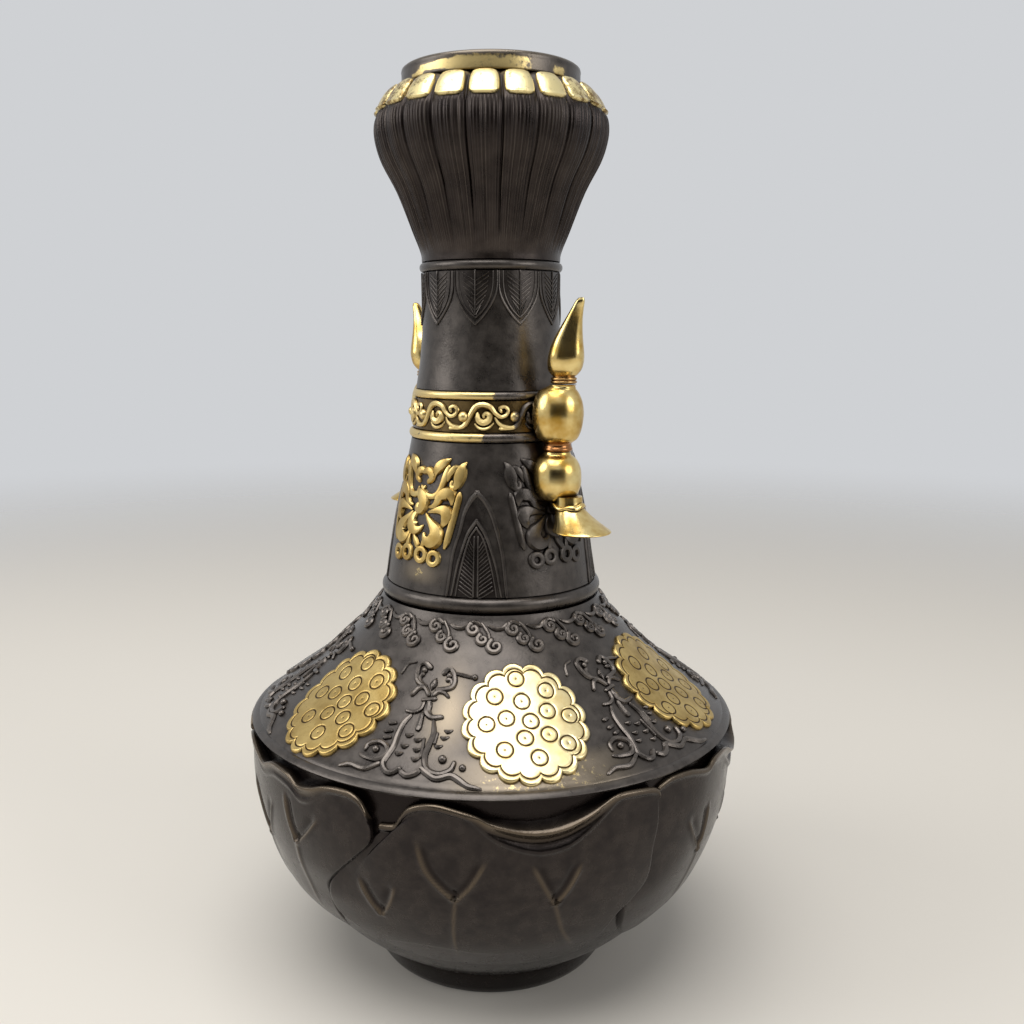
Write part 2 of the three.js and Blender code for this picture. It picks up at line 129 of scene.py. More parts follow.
def angles(spots):  # degrees round the vase, from -Y towards +X
    return np.degrees(np.arctan2(spots[:, 0], -spots[:, 1]))


def between(low, high, lowEnd, highEnd, value):  # rises from low to high, falls from lowEnd to highEnd
    return softStep(low, high, value) * (1 - softStep(lowEnd, highEnd, value))


def filled(bm):  # a sheet with its border closed by a flat face
    bmesh.ops.holes_fill(bm, edges=[e for e in bm.edges if e.is_boundary], sides=0)
    bmesh.ops.recalc_face_normals(bm, faces=bm.faces)
    return bm


def grid(columns, rows, shape):  # a sheet whose place is worked out from two shares, 0 to 1
    bm = bmesh.new()
    bmesh.ops.create_grid(bm, x_segments=columns, y_segments=rows, size=0.5)
    shares = places(bm)[:, :2] + 0.5
    moveTo(bm, shape(shares[:, 0], shares[:, 1]))
    return bm


def mark(bm, name, values):  # a value at every vertex for a material to read
    layer = bm.verts.layers.float.get(name) or bm.verts.layers.float.new(name)
    for v, value in zip(bm.verts, np.broadcast_to(values, len(bm.verts))):
        v[layer] = float(value)


def tubes(strokes):  # raised lines: each stroke is a list of x, y, z, radius with rounded ends
    curve = bpy.data.curves.new("strokes", "CURVE")
    curve.dimensions = "3D"
    curve.bevel_depth = 1
    curve.bevel_resolution = 2
    curve.use_fill_caps = True
    for line in strokes:
        spline = curve.splines.new("POLY")
        spline.points.add(len(line) - 1)
        spline.points.foreach_set("co", np.column_stack((line[:, :3], np.ones(len(line)))).ravel())
        spline.points.foreach_set("radius", line[:, 3])
    holder = bpy.data.objects.new("strokes", curve)
    bpy.context.scene.collection.objects.link(holder)
    bpy.context.view_layer.update()
    bm = bmesh.new()
    mesh = bpy.data.meshes.new_from_object(holder)
    bm.from_mesh(mesh)
    bpy.data.objects.remove(holder)
    bpy.data.curves.remove(curve)
    bpy.data.meshes.remove(mesh)
    bmesh.ops.recalc_face_normals(bm, faces=bm.faces)
    return bm


def capped(points, step):  # an even line of x, up and half-width with rounded ends
    line = smoothLine(points)
    along = distances(line[:, :2])
    count = max(3, int(along[-1] / step) + 1)
    line = evenLine(points, np.linspace(0, 1, count))
    ahead = line[-1, :2] - line[-2, :2]
    behind = line[0, :2] - line[1, :2]
    cap = [(0.5, 0.87), (0.85, 0.55), (1.0, 0.12)]  # how far ahead in half-widths, and how wide
    first = [(*(line[0, :2] + behind / np.linalg.norm(behind) * line[0, 2] * far), line[0, 2] * wide)
             for far, wide in reversed(cap)]
    last = [(*(line[-1, :2] + ahead / np.linalg.norm(ahead) * line[-1, 2] * far), line[-1, 2] * wide)
            for far, wide in cap]
    return np.array([*first, *line, *last])


def fuller(points, factor):  # the same line with broader strokes
    return [(x, up, half * factor) for x, up, half in points]


def stroke(skin, degrees, points, relief=1.0, step=0.45):  # one raised line, never higher than its relief
    line = capped(points, step)
    half = line[:, 2]
    radius = np.where(half > relief, (half ** 2 / relief + relief) / 2, half)
    lift = np.where(half > relief, relief - radius, np.minimum(0.25 * half, relief - half))
    return np.column_stack((onSkin(skin, degrees, line[:, 0], line[:, 1], lift), radius))


def pressed(skin, degrees, lines, relief, step=0.35):  # broad leaves drawn flat, then laid on a skin
    flat = tubes([np.column_stack((line[:, :2], np.full(len(line), 0.15 * (k % 3)), line[:, 2]))
                  for k, line in enumerate(capped(points, step) for points in lines)])
    x, up, lift = places(flat).T
    moveTo(flat, onSkin(skin, degrees, x, up, relief * np.tanh(lift / relief)))
    return flat


def bead(skin, degrees, x, up, size, lift=0.2):  # a small raised ball
    bm = bmesh.new()
    bmesh.ops.create_uvsphere(bm, u_segments=12, v_segments=8, radius=size,
                              matrix=Matrix.Translation(Vector(onSkin(skin, degrees, x, up, size * lift))))
    return bm


def joined(*meshes):  # several shapes as one
    whole = bmesh.new()
    for bm in meshes:
        part = bpy.data.meshes.new("part")
        bm.to_mesh(part)
        bm.free()
        whole.from_mesh(part)
        bpy.data.meshes.remove(part)
    return whole


def finish(bm, name, material, slot, *nodes, sharp=42):
    bmesh.ops.scale(bm, vec=(mm, mm, mm), verts=bm.verts)
    mesh = bpy.data.meshes.new(name)
    bm.to_mesh(mesh)
    bm.free()
    mesh.shade_smooth()
    mesh.set_sharp_from_angle(angle=math.radians(sharp))
    mesh.materials.append(material)
    piece = bpy.data.objects.new(name, mesh)
    bpy.context.scene.collection.objects.link(piece)
    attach(piece, "root")
    if nodes:
        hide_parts(*nodes)
    return piece


# Materials

def linear(hexColour):  # sRGB hex to linear
    channels = [int(hexColour[i:i + 2], 16) / 255 for i in (1, 3, 5)]
    return (*[c / 12.92 if c <= 0.04045 else ((c + 0.055) / 1.055) ** 2.4 for c in channels], 1)


def addNode(tree, kind, inputs=None, **settings):
    node = tree.nodes.new(kind)
    for name, value in settings.items():
        setattr(node, name, value)
    for name, value in (inputs or {}).items():
        if isinstance(value, bpy.types.NodeSocket):
            tree.links.new(value, node.inputs[name])
        else:
            node.inputs[name].default_value = value
    return node


def newMaterial(name):
    material = bpy.data.materials.new(name)
    material.use_nodes = True
    tree = material.node_tree
    return material, tree, tree.nodes["Principled BSDF"]


# Cast bronze with a dark brown patina: a cool grey sheen on the high places, painted shade from an
# ambient-occlusion measure that turns the recesses nearly black brown over the dark patina there, and a
# fine sand-cast grain. Gilding in recesses is painted darker the same way. The mark "gilt" keeps worn
# gilding, the mark "worn" is metal rubbed paler, and the shade mark is painted shade that darkens the
# bottoms of grooves and other shaded places.
def patinatedBronze(name, look):
    material, tree, shader = newMaterial(name)
    place = addNode(tree, "ShaderNodeTexCoord").outputs["Object"]
    clouds = addNode(tree, "ShaderNodeTexNoise", {"Vector": place, "Scale": 1 / (look["cloud"] * mm),
                                                  "Detail": 5.0, "Roughness": 0.6})
    grain = addNode(tree, "ShaderNodeTexNoise", {"Vector": place, "Scale": 1 / (look["grain"] * mm),
                                                 "Detail": 3.0, "Roughness": 0.6})
    patina = addNode(tree, "ShaderNodeValToRGB", {"Fac": clouds.outputs["Fac"]})
    for stop, position, tone in zip(patina.color_ramp.elements, look["split"], ("dark", "light")):
        stop.position = position
        stop.color = linear(look[tone])
    # Painted shade: ambient occlusion darkens the recesses towards the recess shade colour
    recessShade = addNode(tree, "ShaderNodeAmbientOcclusion", {"Distance": look["recessDepth"] * mm},
                     samples=8)
    clear = addNode(tree, "ShaderNodeMapRange", {"Value": recessShade.outputs["AO"], "From Min": 0.4,
                                                 "From Max": 0.9})
    # More painted shade from the shade mark, on top of the occlusion
    hollow = addNode(tree, "ShaderNodeAttribute", attribute_name="hollow")
    proud = addNode(tree, "ShaderNodeMath", {0: 1.0, 1: hollow.outputs["Fac"]}, operation="SUBTRACT")
    exposed = addNode(tree, "ShaderNodeMath", {0: clear.outputs["Result"], 1: proud.outputs["Value"]},
                      operation="MULTIPLY")
    toned = addNode(tree, "ShaderNodeMix", {"Factor": exposed.outputs["Value"],
                                            "A": linear(look["recessShade"]), "B": patina.outputs["Color"]},
                    data_type="RGBA")
    rub = addNode(tree, "ShaderNodeAttribute", attribute_name="worn")
    rubbed = addNode(tree, "ShaderNodeMix", {"Factor": rub.outputs["Fac"], "A": toned.outputs["Result"],
                                             "B": linear(look["worn"])}, data_type="RGBA")
    gilt = addNode(tree, "ShaderNodeAttribute", attribute_name="gilt")
    wear = addNode(tree, "ShaderNodeTexNoise", {"Vector": place, "Scale": 1 / (look["wear"] * mm),
                                                "Detail": 6.0, "Roughness": 0.72})
    kept = addNode(tree, "ShaderNodeMath", {0: gilt.outputs["Fac"], 1: wear.outputs["Fac"]},
                   operation="ADD")
    leaf = addNode(tree, "ShaderNodeMapRange", {"Value": kept.outputs["Value"], "From Min": 0.94,
                                                "From Max": 1.08})
    # Gilding in the recesses is painted darker as well: painted shade
    gold = addNode(tree, "ShaderNodeMix", {"Factor": exposed.outputs["Value"],
                                           "A": linear(look["goldShade"]), "B": linear(look["gold"])},
                   data_type="RGBA")
    colour = addNode(tree, "ShaderNodeMix", {"Factor": leaf.outputs["Result"], "A": rubbed.outputs["Result"],
                                             "B": gold.outputs["Result"]}, data_type="RGBA")
    metal = addNode(tree, "ShaderNodeMapRange", {"Value": leaf.outputs["Result"],
                                                 "To Min": look["metallic"], "To Max": 1.0})
    rough = addNode(tree, "ShaderNodeMapRange", {"Value": clouds.outputs["Fac"], "From Min": 0.3,
                                                 "From Max": 0.7, "To Min": look["rough"] - 0.05,
                                                 "To Max": look["rough"] + 0.08})
    smoothed = addNode(tree, "ShaderNodeMix", {"Factor": leaf.outputs["Result"],
                                               "A": rough.outputs["Result"], "B": look["goldRough"]})
    bump = addNode(tree, "ShaderNodeBump", {"Height": grain.outputs["Fac"], "Strength": look["bump"],
                                            "Distance": 0.25 * mm})
    for socket, source in (("Base Color", colour.outputs["Result"]), ("Metallic", metal.outputs["Result"]),
                           ("Roughness", smoothed.outputs["Result"]), ("Normal", bump.outputs["Normal"])):
        tree.links.new(source, shader.inputs[socket])
    return material


# Fire gilding over cast bronze: warm and bright, a few pits that show the bronze, and painted shade
# that turns the deep corners brown. Where the mark "braze" is set, it is the coppery braze metal of a joint.
def fireGilding(name, look):
    material, tree, shader = newMaterial(name)
    place = addNode(tree, "ShaderNodeTexCoord").outputs["Object"]
    clouds = addNode(tree, "ShaderNodeTexNoise", {"Vector": place, "Scale": 1 / (look["swirl"] * mm),
                                                  "Detail": 4.0, "Roughness": 0.55})
    pits = addNode(tree, "ShaderNodeTexNoise", {"Vector": place, "Scale": 1 / (look["pit"] * mm),
                                                "Detail": 4.0, "Roughness": 0.7})
    swirl = addNode(tree, "ShaderNodeMapRange", {"Value": clouds.outputs["Fac"], "From Min": 0.35,
                                                 "From Max": 0.65})
    tone = addNode(tree, "ShaderNodeMix", {"Factor": swirl.outputs["Result"], "A": linear(look["deep"]),
                                           "B": linear(look["light"])}, data_type="RGBA")
    speck = addNode(tree, "ShaderNodeMapRange", {"Value": pits.outputs["Fac"], "From Min": look["speck"],
                                                 "From Max": look["speck"] + 0.06})
    worn = addNode(tree, "ShaderNodeMix", {"Factor": speck.outputs["Result"], "A": linear(look["under"]),
                                           "B": tone.outputs["Result"]}, data_type="RGBA")
    # Painted shade: ambient occlusion turns the deep corners towards the recess shade colour
    recessShade = addNode(tree, "ShaderNodeAmbientOcclusion", {"Distance": look["recessDepth"] * mm},
                     samples=8)
    exposed = addNode(tree, "ShaderNodeMapRange", {"Value": recessShade.outputs["AO"], "From Min": 0.35,
                                                   "From Max": 0.85})
    toned = addNode(tree, "ShaderNodeMix", {"Factor": exposed.outputs["Result"],
                                            "A": linear(look["recessShade"]), "B": worn.outputs["Result"]},
                    data_type="RGBA")
    braze = addNode(tree, "ShaderNodeAttribute", attribute_name="braze")
    colour = addNode(tree, "ShaderNodeMix", {"Factor": braze.outputs["Fac"], "A": toned.outputs["Result"],
                                             "B": linear(look["braze"])}, data_type="RGBA")
    rough = addNode(tree, "ShaderNodeMapRange", {"Value": clouds.outputs["Fac"], "From Min": 0.3,
                                                 "From Max": 0.7, "To Min": look["rough"] + 0.05,
                                                 "To Max": look["rough"] - 0.03})
    bump = addNode(tree, "ShaderNodeBump", {"Height": pits.outputs["Fac"], "Strength": look["bump"],
                                            "Distance": 0.2 * mm})
    for socket, source in (("Base Color", colour.outputs["Result"]), ("Roughness", rough.outputs["Result"]),
                           ("Normal", bump.outputs["Normal"])):
        tree.links.new(source, shader.inputs[socket])
    shader.inputs["Metallic"].default_value = 1.0
    return material


# Lengths of the patterns are in millimetres. Plain cast bronze: brown-grey clouds under a soft sheen;
# the recess colours, of bronze and of gold, are painted shade
bronzeLook = {"cloud": 5, "split": (0.36, 0.66), "dark": "#443f3b", "light": "#56504b", "recessShade": "#170f0d",
              "recessDepth": 5, "grain": 0.7, "bump": 0.22, "metallic": 0.75, "rough": 0.3,
              "worn": "#998a73", "wear": 2.2, "gold": "#dcc488", "goldShade": "#6b5222", "goldRough": 0.36}
bronze = patinatedBronze("patinatedBronze", bronzeLook)
# The bowl: a darker, smoother copy of the bronze whose darkness is painted shade, with dull brassy ridges
bowlBronze = patinatedBronze("shadedBowlBronze", {**bronzeLook, "dark": "#272221", "light": "#37312e",
                                            "rough": 0.23, "worn": "#7d6e5a"})
# Ornament rubbed by handling: paler than its ground, with painted shade close round it in the recesses
reliefLook = {**bronzeLook, "dark": "#544e49", "light": "#6f6760", "recessDepth": 2.2, "rough": 0.27}
relief = patinatedBronze("rubbedBronze", reliefLook)
# The scratched and ribbed bulb: dark, with long soft clouds
headBronze = patinatedBronze("ribbedBronze", {**bronzeLook, "dark": "#2f2825", "light": "#473f3a",
                                              "cloud": 8, "worn": "#85796c"})
# Thin pale gilding that wears through to brassy brown
giltBronze = patinatedBronze("crownGilding", {**reliefLook, "gold": "#e9d8a0", "goldShade": "#8a7238",
                                              "dark": "#7a6238", "light": "#9a7f4d"})
# Burnished castings: warm, bright and nearly smooth; the recess colour is painted shade
brightLook = {"swirl": 7, "deep": "#bd9645", "light": "#ecd594", "pit": 0.9, "speck": 0.26,
              "under": "#7d5f25", "recessShade": "#4f3912", "recessDepth": 2.0, "braze": "#94603c",
              "rough": 0.22, "bump": 0.08}
bright = fireGilding("fireGilding", brightLook)
# Unburnished gilding on the panel: soft and pale, with painted shade in its gaps
softGilding = fireGilding("softGilding", {**brightLook, "deep": "#a98a4c", "light": "#d3b878",
                                          "recessShade": "#4a3614", "recessDepth": 2.4, "rough": 0.34})

# Bowl

footLow, footTop = spanOf("foot_ring")
foot = {"inner": 34, "seat": 36.9, "ledge": 5.7, "segments": 160, "shade": 0.6,
        "outline": [(39, footLow), (39.7, 0.7), (41.2, 3), (42.2, 6), (43.5, 8.6), (43.6, footTop)]}
profile = [(foot["inner"], footLow), *foot["outline"], (foot["seat"], footTop),
           (foot["seat"], foot["ledge"]), (foot["inner"], foot["ledge"])]
footMesh = spun(profile, foot["segments"])
# Painted shade over the foot ring under the bowl
mark(footMesh, "hollow", foot["shade"])
finish(footMesh, "footRing", bowlBronze, "patinated_bronze", "foot_ring", sharp=30)

plateLow, plateHigh = spanOf("base_plate")
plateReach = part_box("base_plate")[1].x / mm
profile = [(0, plateLow), (plateReach, plateLow), (plateReach, plateHigh), (0, plateHigh)]
finish(spun(profile, 96, closed=False), "basePlate", bronze, "patinated_bronze", "base_plate", sharp=30)

bowl = {"outline": [(44, footTop + 0.3), (56.8, 20), (70.2, 36), (77, 52), (80.1, 68), (80.8, 87.2)],
        "wall": 2.6, "inner": 34, "spigot": 36.6, "segments": 192,
        "mouthShade": (0.8, 68, 74), "footShade": (0.65, 18, 36)}  # strength and the heights of its fade
bowlSkin = makeSkin(bowl["outline"])
outside = smoothLine(bowl["outline"], 5)
inside = [(r - bowl["wall"], max(z, footTop + bowl["wall"])) for r, z in outside[::-1]]
profile = [(bowl["inner"], footTop - 0.7), (bowl["spigot"], footTop - 0.7), (bowl["spigot"], footTop + 0.3),
           *outside, *inside, (bowl["inner"], footTop + bowl["wall"])]
bowlMesh = spun(profile, bowl["segments"])
heights = places(bowlMesh)[:, 2]
(atMouth, *mouthFade), (atFoot, *footFade) = bowl["mouthShade"], bowl["footShade"]
# Painted shade at the bowl's mouth under the shoulder's rim, and near the foot
mark(bowlMesh, "hollow", np.maximum(atMouth * softStep(*mouthFade, heights),
                                    atFoot * (1 - softStep(*footFade, heights))))
finish(bowlMesh, "bowlShell", bowlBronze, "patinated_bronze", "leaf_bowl")

# Lotus leaves: each is drawn as degrees from its middle and height; the sides run from top to bottom
leafSkin = makeSkin([(48, 10), (58, 20), (66, 28), (72.2, 36), (76.2, 44), (79.2, 52), (81.3, 60),
                     (82.6, 68), (83.2, 76), (83.3, 88)])
leaves = {
    "left": {
        "lip": [(-35, 77), (-31, 78.5), (-27.5, 82), (-24, 85), (-19, 85.4), (-14, 83.6), (-9.7, 82),
                (-6, 83.8), (-3, 84.9), (2.6, 84.5), (6.3, 82.3), (10.4, 83.1), (14, 84.9), (18, 85.8),
                (21.3, 85.5), (23.7, 83.6), (25.3, 79.8)],
        "right": [(25.3, 79.8), (25.9, 75.1), (25.2, 70.6), (21.2, 64.8), (14.4, 55.8), (11, 50.3),
                  (9.5, 43), (8, 34), (5, 27)],
        "leftSide": [(-35, 77), (-38, 68), (-40, 58), (-41, 50), (-39, 42), (-35, 34), (-29, 28)],
        "flare": [(-40, 0.1), (-12, 0.3), (4, 0.5), (9, 0.5), (16, 0), (30, 0)],
        "arms": [[(0.6, 78.6), (1.6, 69), (3.3, 61.8)], [(12.2, 74.4), (7.5, 67), (3.3, 61.8)],
                 [(-20, 74), (-16, 64), (-13, 55)], [(-6, 72), (-9.5, 62), (-13, 55)]],
        "stems": [[(3.3, 61.8), (2.5, 45), (0, 30)], [(-13, 55), (-15, 42), (-17, 30)]],
        "rightTuck": 1.2},
    "front": {
        "lip": [(-33.6, 76.9), (-31.3, 77), (-29.3, 77.8), (-27.9, 80.8), (-26.1, 83.7), (-23.3, 85.4),
                (-19.8, 85.8), (-15.7, 84.5), (-12.3, 83), (-10, 81.3), (-7.3, 80.2), (-3.9, 79.1),
                (-0.6, 78.7), (2.9, 79), (6.4, 80.2), (10.1, 82), (14, 84.6), (16.2, 85.8), (19.2, 86.1),
                (25.5, 85), (27.5, 82.5)],
        "right": [(27.5, 82.5), (27.7, 73), (27.1, 65), (27.2, 55), (24.2, 48.5), (20.9, 43.8), (17.6, 33.7),
                  (14.5, 27.7)],
        "leftSide": [(-33.6, 76.9), (-39.5, 68), (-45.5, 58), (-49.5, 50), (-49.8, 41), (-45.1, 36.3),
                     (-42.5, 33.2), (-38.1, 33.4), (-33.5, 29), (-26.1, 26.4)],
        "flare": [(-40, 0), (-14, 0), (-8, 0.6), (0, 1), (6, 1), (12, 0.5), (17, 0), (30, 0)],
        "arms": [[(-24.6, 75.8), (-22.4, 65), (-16.9, 55.8)],
                 [(-10.3, 70.3), (-13.4, 62), (-16.9, 55.8)],
                 [(-1.5, 68.8), (1.6, 60), (4, 53.6)], [(9.1, 67.7), (6.8, 60), (4, 53.6)],
                 [(-39.2, 58.5), (-37, 52), (-34.4, 46)], [(-29.7, 59.1), (-31.6, 52), (-34.4, 46)]],
        "stems": [[(-16.9, 55.8), (-17.8, 43), (-17.6, 29)], [(4, 53.6), (6.9, 42), (12.8, 30.2)]],
        "rightTuck": 0},
    "right": {
        "lip": [(-32.6, 82.9), (-30.6, 84.5), (-27.4, 85.6), (-22, 85.1), (-15.5, 83.1), (-11.6, 84.7),
                (-4.8, 84.3), (2, 80.5), (8, 81), (14, 84.5), (20, 85.8), (25, 85), (27.5, 81.5)],
        "right": [(27.5, 81.5), (27.8, 73), (27.4, 65), (26, 55), (22.5, 46), (18.6, 36), (14.5, 27.7)],
        "leftSide": [(-32.6, 82.9), (-35, 74), (-38, 62), (-39, 52), (-38, 43), (-36, 36), (-31, 29)],
        "flare": [(-40, 0), (-12, 0), (-4, 0.4), (3, 0.8), (8, 0.7), (14, 0), (30, 0)],
        "arms": [[(-22.1, 69.8), (-18, 61), (-14, 54.1)], [(-13.5, 71.9), (-13.4, 62), (-14, 54.1)],
                 [(0, 69), (2.5, 61), (4.5, 54)], [(10, 68), (7.5, 61), (4.5, 54)]],
        "stems": [[(-14, 54.1), (-15.5, 42), (-18, 30)], [(4.5, 54), (7, 42), (11, 31)]],
        "rightTuck": 0},
}
# The lip's section as distances outwards and upwards from the lip line: a rolled bead on the crests, and
# in the dips a fold below and a broad lip that bends outwards
lipRoll = {"crest": [(0, -2.4), (0.05, -2), (0.15, -1.7), (0.45, -1.35), (0.75, -0.9), (0.85, -0.35),
                     (0.65, 0.3), (0.1, 0.62), (-0.6, 0.5), (-1.1, -0.2), (-1.4, -1.2), (-2.4, -2)],
           "dip": [(0.5, -8), (1.2, -7), (1.4, -6.3), (1, -5.3), (0, -4.1), (0.1, -2.8), (1.2, -1.6),
                   (2.3, -0.8), (2.75, -0.1), (2.55, 0.5), (1.8, 0.9), (0.4, 1.3), (-1.5, 2), (-3.2, 2.8),
                   (-4.2, 2.4), (-4.3, 0)]}
# Mesh counts, then millimetres: the rounded border, the leaf's rough width and height, the length of a
# degree, how far the left edge tucks under its neighbour and how deep the back sits in the bowl's wall
leafGrid = {"columns": 190, "rows": 110, "lipRows": 34, "edge": 1.3, "span": 85, "tall": 55,
            "perDegree": 1.35, "tuck": 2.1, "sunk": 0.6}


def leafFoot(left, right):  # the lower edge, a shallow arc between the two side edges
    return [left, *[((1 - t) * left[0] + t * right[0], z) for t, z in ((0.3, 25.2), (0.65, 24.9))], right]


def nearLine(points, x, z):  # distance to a line, its sign on the two sides, and the share along it
    line = smoothLine(points, 6) * (leafGrid["perDegree"], 1)
    along = distances(line)
    best, side, share = np.full(len(z), 1e9), np.zeros(len(z)), np.zeros(len(z))
    for i, ((ax, az), (bx, bz)) in enumerate(zip(line, line[1:])):
        dx, dz = bx - ax, bz - az
        t = np.clip(((x - ax) * dx + (z - az) * dz) / (dx * dx + dz * dz), 0, 1)
        offX, offZ = x - ax - t * dx, z - az - t * dz
        far = np.hypot(offX, offZ)
        nearer = far < best
        best = np.where(nearer, far, best)
        side = np.where(nearer, np.sign(dx * offZ - dz * offX), side)
        share = np.where(nearer, along[i] + t * (along[i + 1] - along[i]), share)
    inward = side if line[0][0] < line[-1][0] else -side
    return best, inward, share / along[-1]


# Painted shade: the insides of the forks and the leaf towards the foot are darkened by the shade mark
def veinLift(shape, degrees, z):  # lift, darkness and rubbed edges of forked ridges and softer stems
    x = degrees * leafGrid["perDegree"]
    lift, hollow, worn = np.zeros(len(z)), np.zeros(len(z)), np.zeros(len(z))
    for arm in shape["arms"]:
        far, inward, share = nearLine(arm, x, z)
        signed = far * inward
        fade = softStep(0, 0.25, share) * (1 - softStep(0.97, 1, share))
        inside = np.exp(-((signed - 1.4) / 1.2) ** 2)
        lift += fade * (0.5 * np.exp(-((signed + 0.35) / 0.8) ** 2) - 0.5 * inside)
        hollow = np.maximum(hollow, fade * 0.7 * inside)
        worn = np.maximum(worn, fade * 0.42 * np.exp(-((signed + 0.1) / 0.48) ** 2))
    for stem in shape["stems"]:
        far, inward, share = nearLine(stem, x, z)
        fade = 1 - softStep(0.5, 1, share)
        lift += 0.32 * np.exp(-(far / 1.1) ** 2) * fade
        worn = np.maximum(worn, 0.32 * fade * np.exp(-(far / 0.5) ** 2))
    return lift, np.maximum(hollow, 0.65 * (1 - softStep(20, 38, z))), worn


def lotusLeaf(shape):  # one closed skin: up the face, over the lip and down again inside the bowl's wall
    rows, lipRows, span = leafGrid["rows"], leafGrid["lipRows"], leafGrid["span"]
    total = 2 * rows + lipRows
    flareDegrees, flareValues = np.array(shape["flare"]).T
    fields = {}

    def place(u, v):
        step = np.round(v * total)
        w = np.clip(np.minimum(step, total - step) / rows, 0, 1)
        over = np.clip((step - rows) / lipRows, 0, 1)
        edge = np.array([0, 0.2, 0.5, 0.8, 1.1, 1.5]) / span  # closer columns on the rounded border
        count = leafGrid["columns"]
        marks = np.concatenate((np.arange(6), count - np.arange(6)[::-1])) / count
        u = np.interp(u, marks, np.concatenate((edge, 1 - edge[::-1])))
        lip = evenLine(shape["lip"], u)
        flare = np.interp(lip[:, 0], flareDegrees, flareValues)[:, None]
        start = (1 - flare) * lipRoll["crest"][0] + flare * lipRoll["dip"][0]
        top = lip + np.column_stack((np.zeros(len(u)), start[:, 1]))
        ends = [np.array(shape["lip"][k], float) + (0, lipRoll["crest"][0][1]) for k in (0, -1)]
        leftLine = [tuple(ends[0]), *shape["leftSide"][1:]][::-1]
        rightLine = [tuple(ends[1]), *shape["right"][1:]][::-1]
        low = evenLine(leafFoot(leftLine[0], rightLine[0]), u)
        a, b = u[:, None], w[:, None]  # the four edges are blended into a patch
        flat = ((1 - b) * low + b * top + (1 - a) * evenLine(leftLine, w) + a * evenLine(rightLine, w)
                - ((1 - a) * (1 - b) * leftLine[0] + a * (1 - b) * rightLine[0]
                   + (1 - a) * b * ends[0] + a * b * ends[1]))
        degrees, z = flat[:, 0], flat[:, 1]
        tuck = leafGrid["tuck"] * (1 - softStep(0, 0.3, u)) * softStep(46, 60, z)
        tuck = tuck + shape["rightTuck"] * softStep(0.6, 1, u) * (1 - softStep(44, 58, z))
        lift, hollow, worn = veinLift(shape, degrees, z)
        lift = lift * softStep(0, 0.1, w) - tuck - 0.5 * (1 - softStep(0, 0.3, w))
        border = np.minimum(np.minimum(u, 1 - u) * span, w * leafGrid["tall"])
        closeness = np.clip(1 - border / leafGrid["edge"], 0, 1)
        drop = 1 - np.sqrt(1 - closeness ** 2)
        wall = radiusAt(bowlSkin, z) - leafGrid["sunk"]
        face = (radiusAt(leafSkin, z) + lift) * (1 - drop) + wall * drop
        samples = [evenLine(lipRoll[k], over) for k in ("crest", "dip")]
        shift = samples[0] * (1 - flare) + samples[1] * flare - start
        shift = shift * (1 - drop)[:, None]
        reach = np.where(step < rows + lipRows, face + shift[:, 0], wall)
        z = np.where(step < rows + lipRows, z + shift[:, 1], z)
        # Painted shade in the fold under the lip at the dips
        dark = 0.65 * flare[:, 0] * np.exp(-((over - 0.23) / 0.1) ** 2) * (step < rows + lipRows)
        fields["hollow"] = np.where(step < rows, hollow, dark)
        rubbed = 0.5 * np.exp(-((over - 0.43) / 0.15) ** 2) * (1 - drop)
        fields["worn"] = np.where(step < rows, worn, rubbed)
        turn = np.radians(degrees)
        return np.column_stack((reach * np.sin(turn), -reach * np.cos(turn), z))

    bm = grid(leafGrid["columns"], total, place)
    for name, values in fields.items():
        mark(bm, name, values)
    bmesh.ops.remove_doubles(bm, verts=bm.verts, dist=0.01)
    bmesh.ops.recalc_face_normals(bm, faces=bm.faces)
    return bm


for index, kind in enumerate(("left", "front", "right") * 2):  # the back repeats the front
    leafMesh = lotusLeaf(leaves[kind])
    bmesh.ops.rotate(leafMesh, verts=leafMesh.verts, cent=(0, 0, 0),
                     matrix=Matrix.Rotation(math.radians(60 * index), 3, "Z"))
    finish(leafMesh, f"lotusLeaf{index + 1}", bowlBronze, "patinated_bronze", "leaf_bowl")
print("bowl done")

# Shoulder

shoulderLow, shoulderTop = spanOf("shoulder")
shoulderCone = [(80.9, 89.4), (71.8, 96), (60.4, 104), (51.6, 112), (43.5, 120), (38.7, 126.2),
                (37.1, shoulderTop)]
shoulderSkin = makeSkin(shoulderCone, byArc=True)
shoulder = {"rim": [(75.2, shoulderLow), (77.9, shoulderLow), (77.9, 87.5), (82.4, 87.5), (82.9, 88.2),
                    (82.3, 89.0), (81.2, 89.5), (80.5, 89.6), (79.9, 90.5)],
            "bore": 33.5, "boreFoot": 124.4, "under": (1.7, 2.1), "segments": 300,
            "smearAt": 62, "rubbedAt": (38, 60)}
cone = [tuple(p) for p in smoothLine(shoulderCone, 8) if p[0] < 79.2]
inset, below = shoulder["under"]
under = [(r - inset, z - below) for r, z in cone[::-1] if z < shoulderTop - 6 and r < 76]
profile = [*shoulder["rim"], *cone, (shoulder["bore"], shoulderTop),
           (shoulder["bore"], shoulder["boreFoot"]), *under, (75.2, 87.6)]
shoulderMesh = spun(profile, shoulder["segments"])
spots = places(shoulderMesh)
around, reach = angles(spots), np.hypot(spots[:, 0], spots[:, 1])
# A smear of gilding under the bright medallion, and a place rubbed pale beside it
smear = (1 - softStep(8, 26, np.abs(around - shoulder["smearAt"]))) * between(70, 74, 80, 82, reach)
rubbedAngle, rubbedReach = shoulder["rubbedAt"]
rubbed = np.exp(-((around - rubbedAngle) / 5) ** 2) * np.exp(-((reach - rubbedReach) / 9) ** 2)
mark(shoulderMesh, "gilt", 0.41 * smear)
mark(shoulderMesh, "worn", np.minimum(0.55 * rubbed + 0.4 * smear, 1))
finish(shoulderMesh, "shoulderCone", bronze, "patinated_bronze", "shoulder")


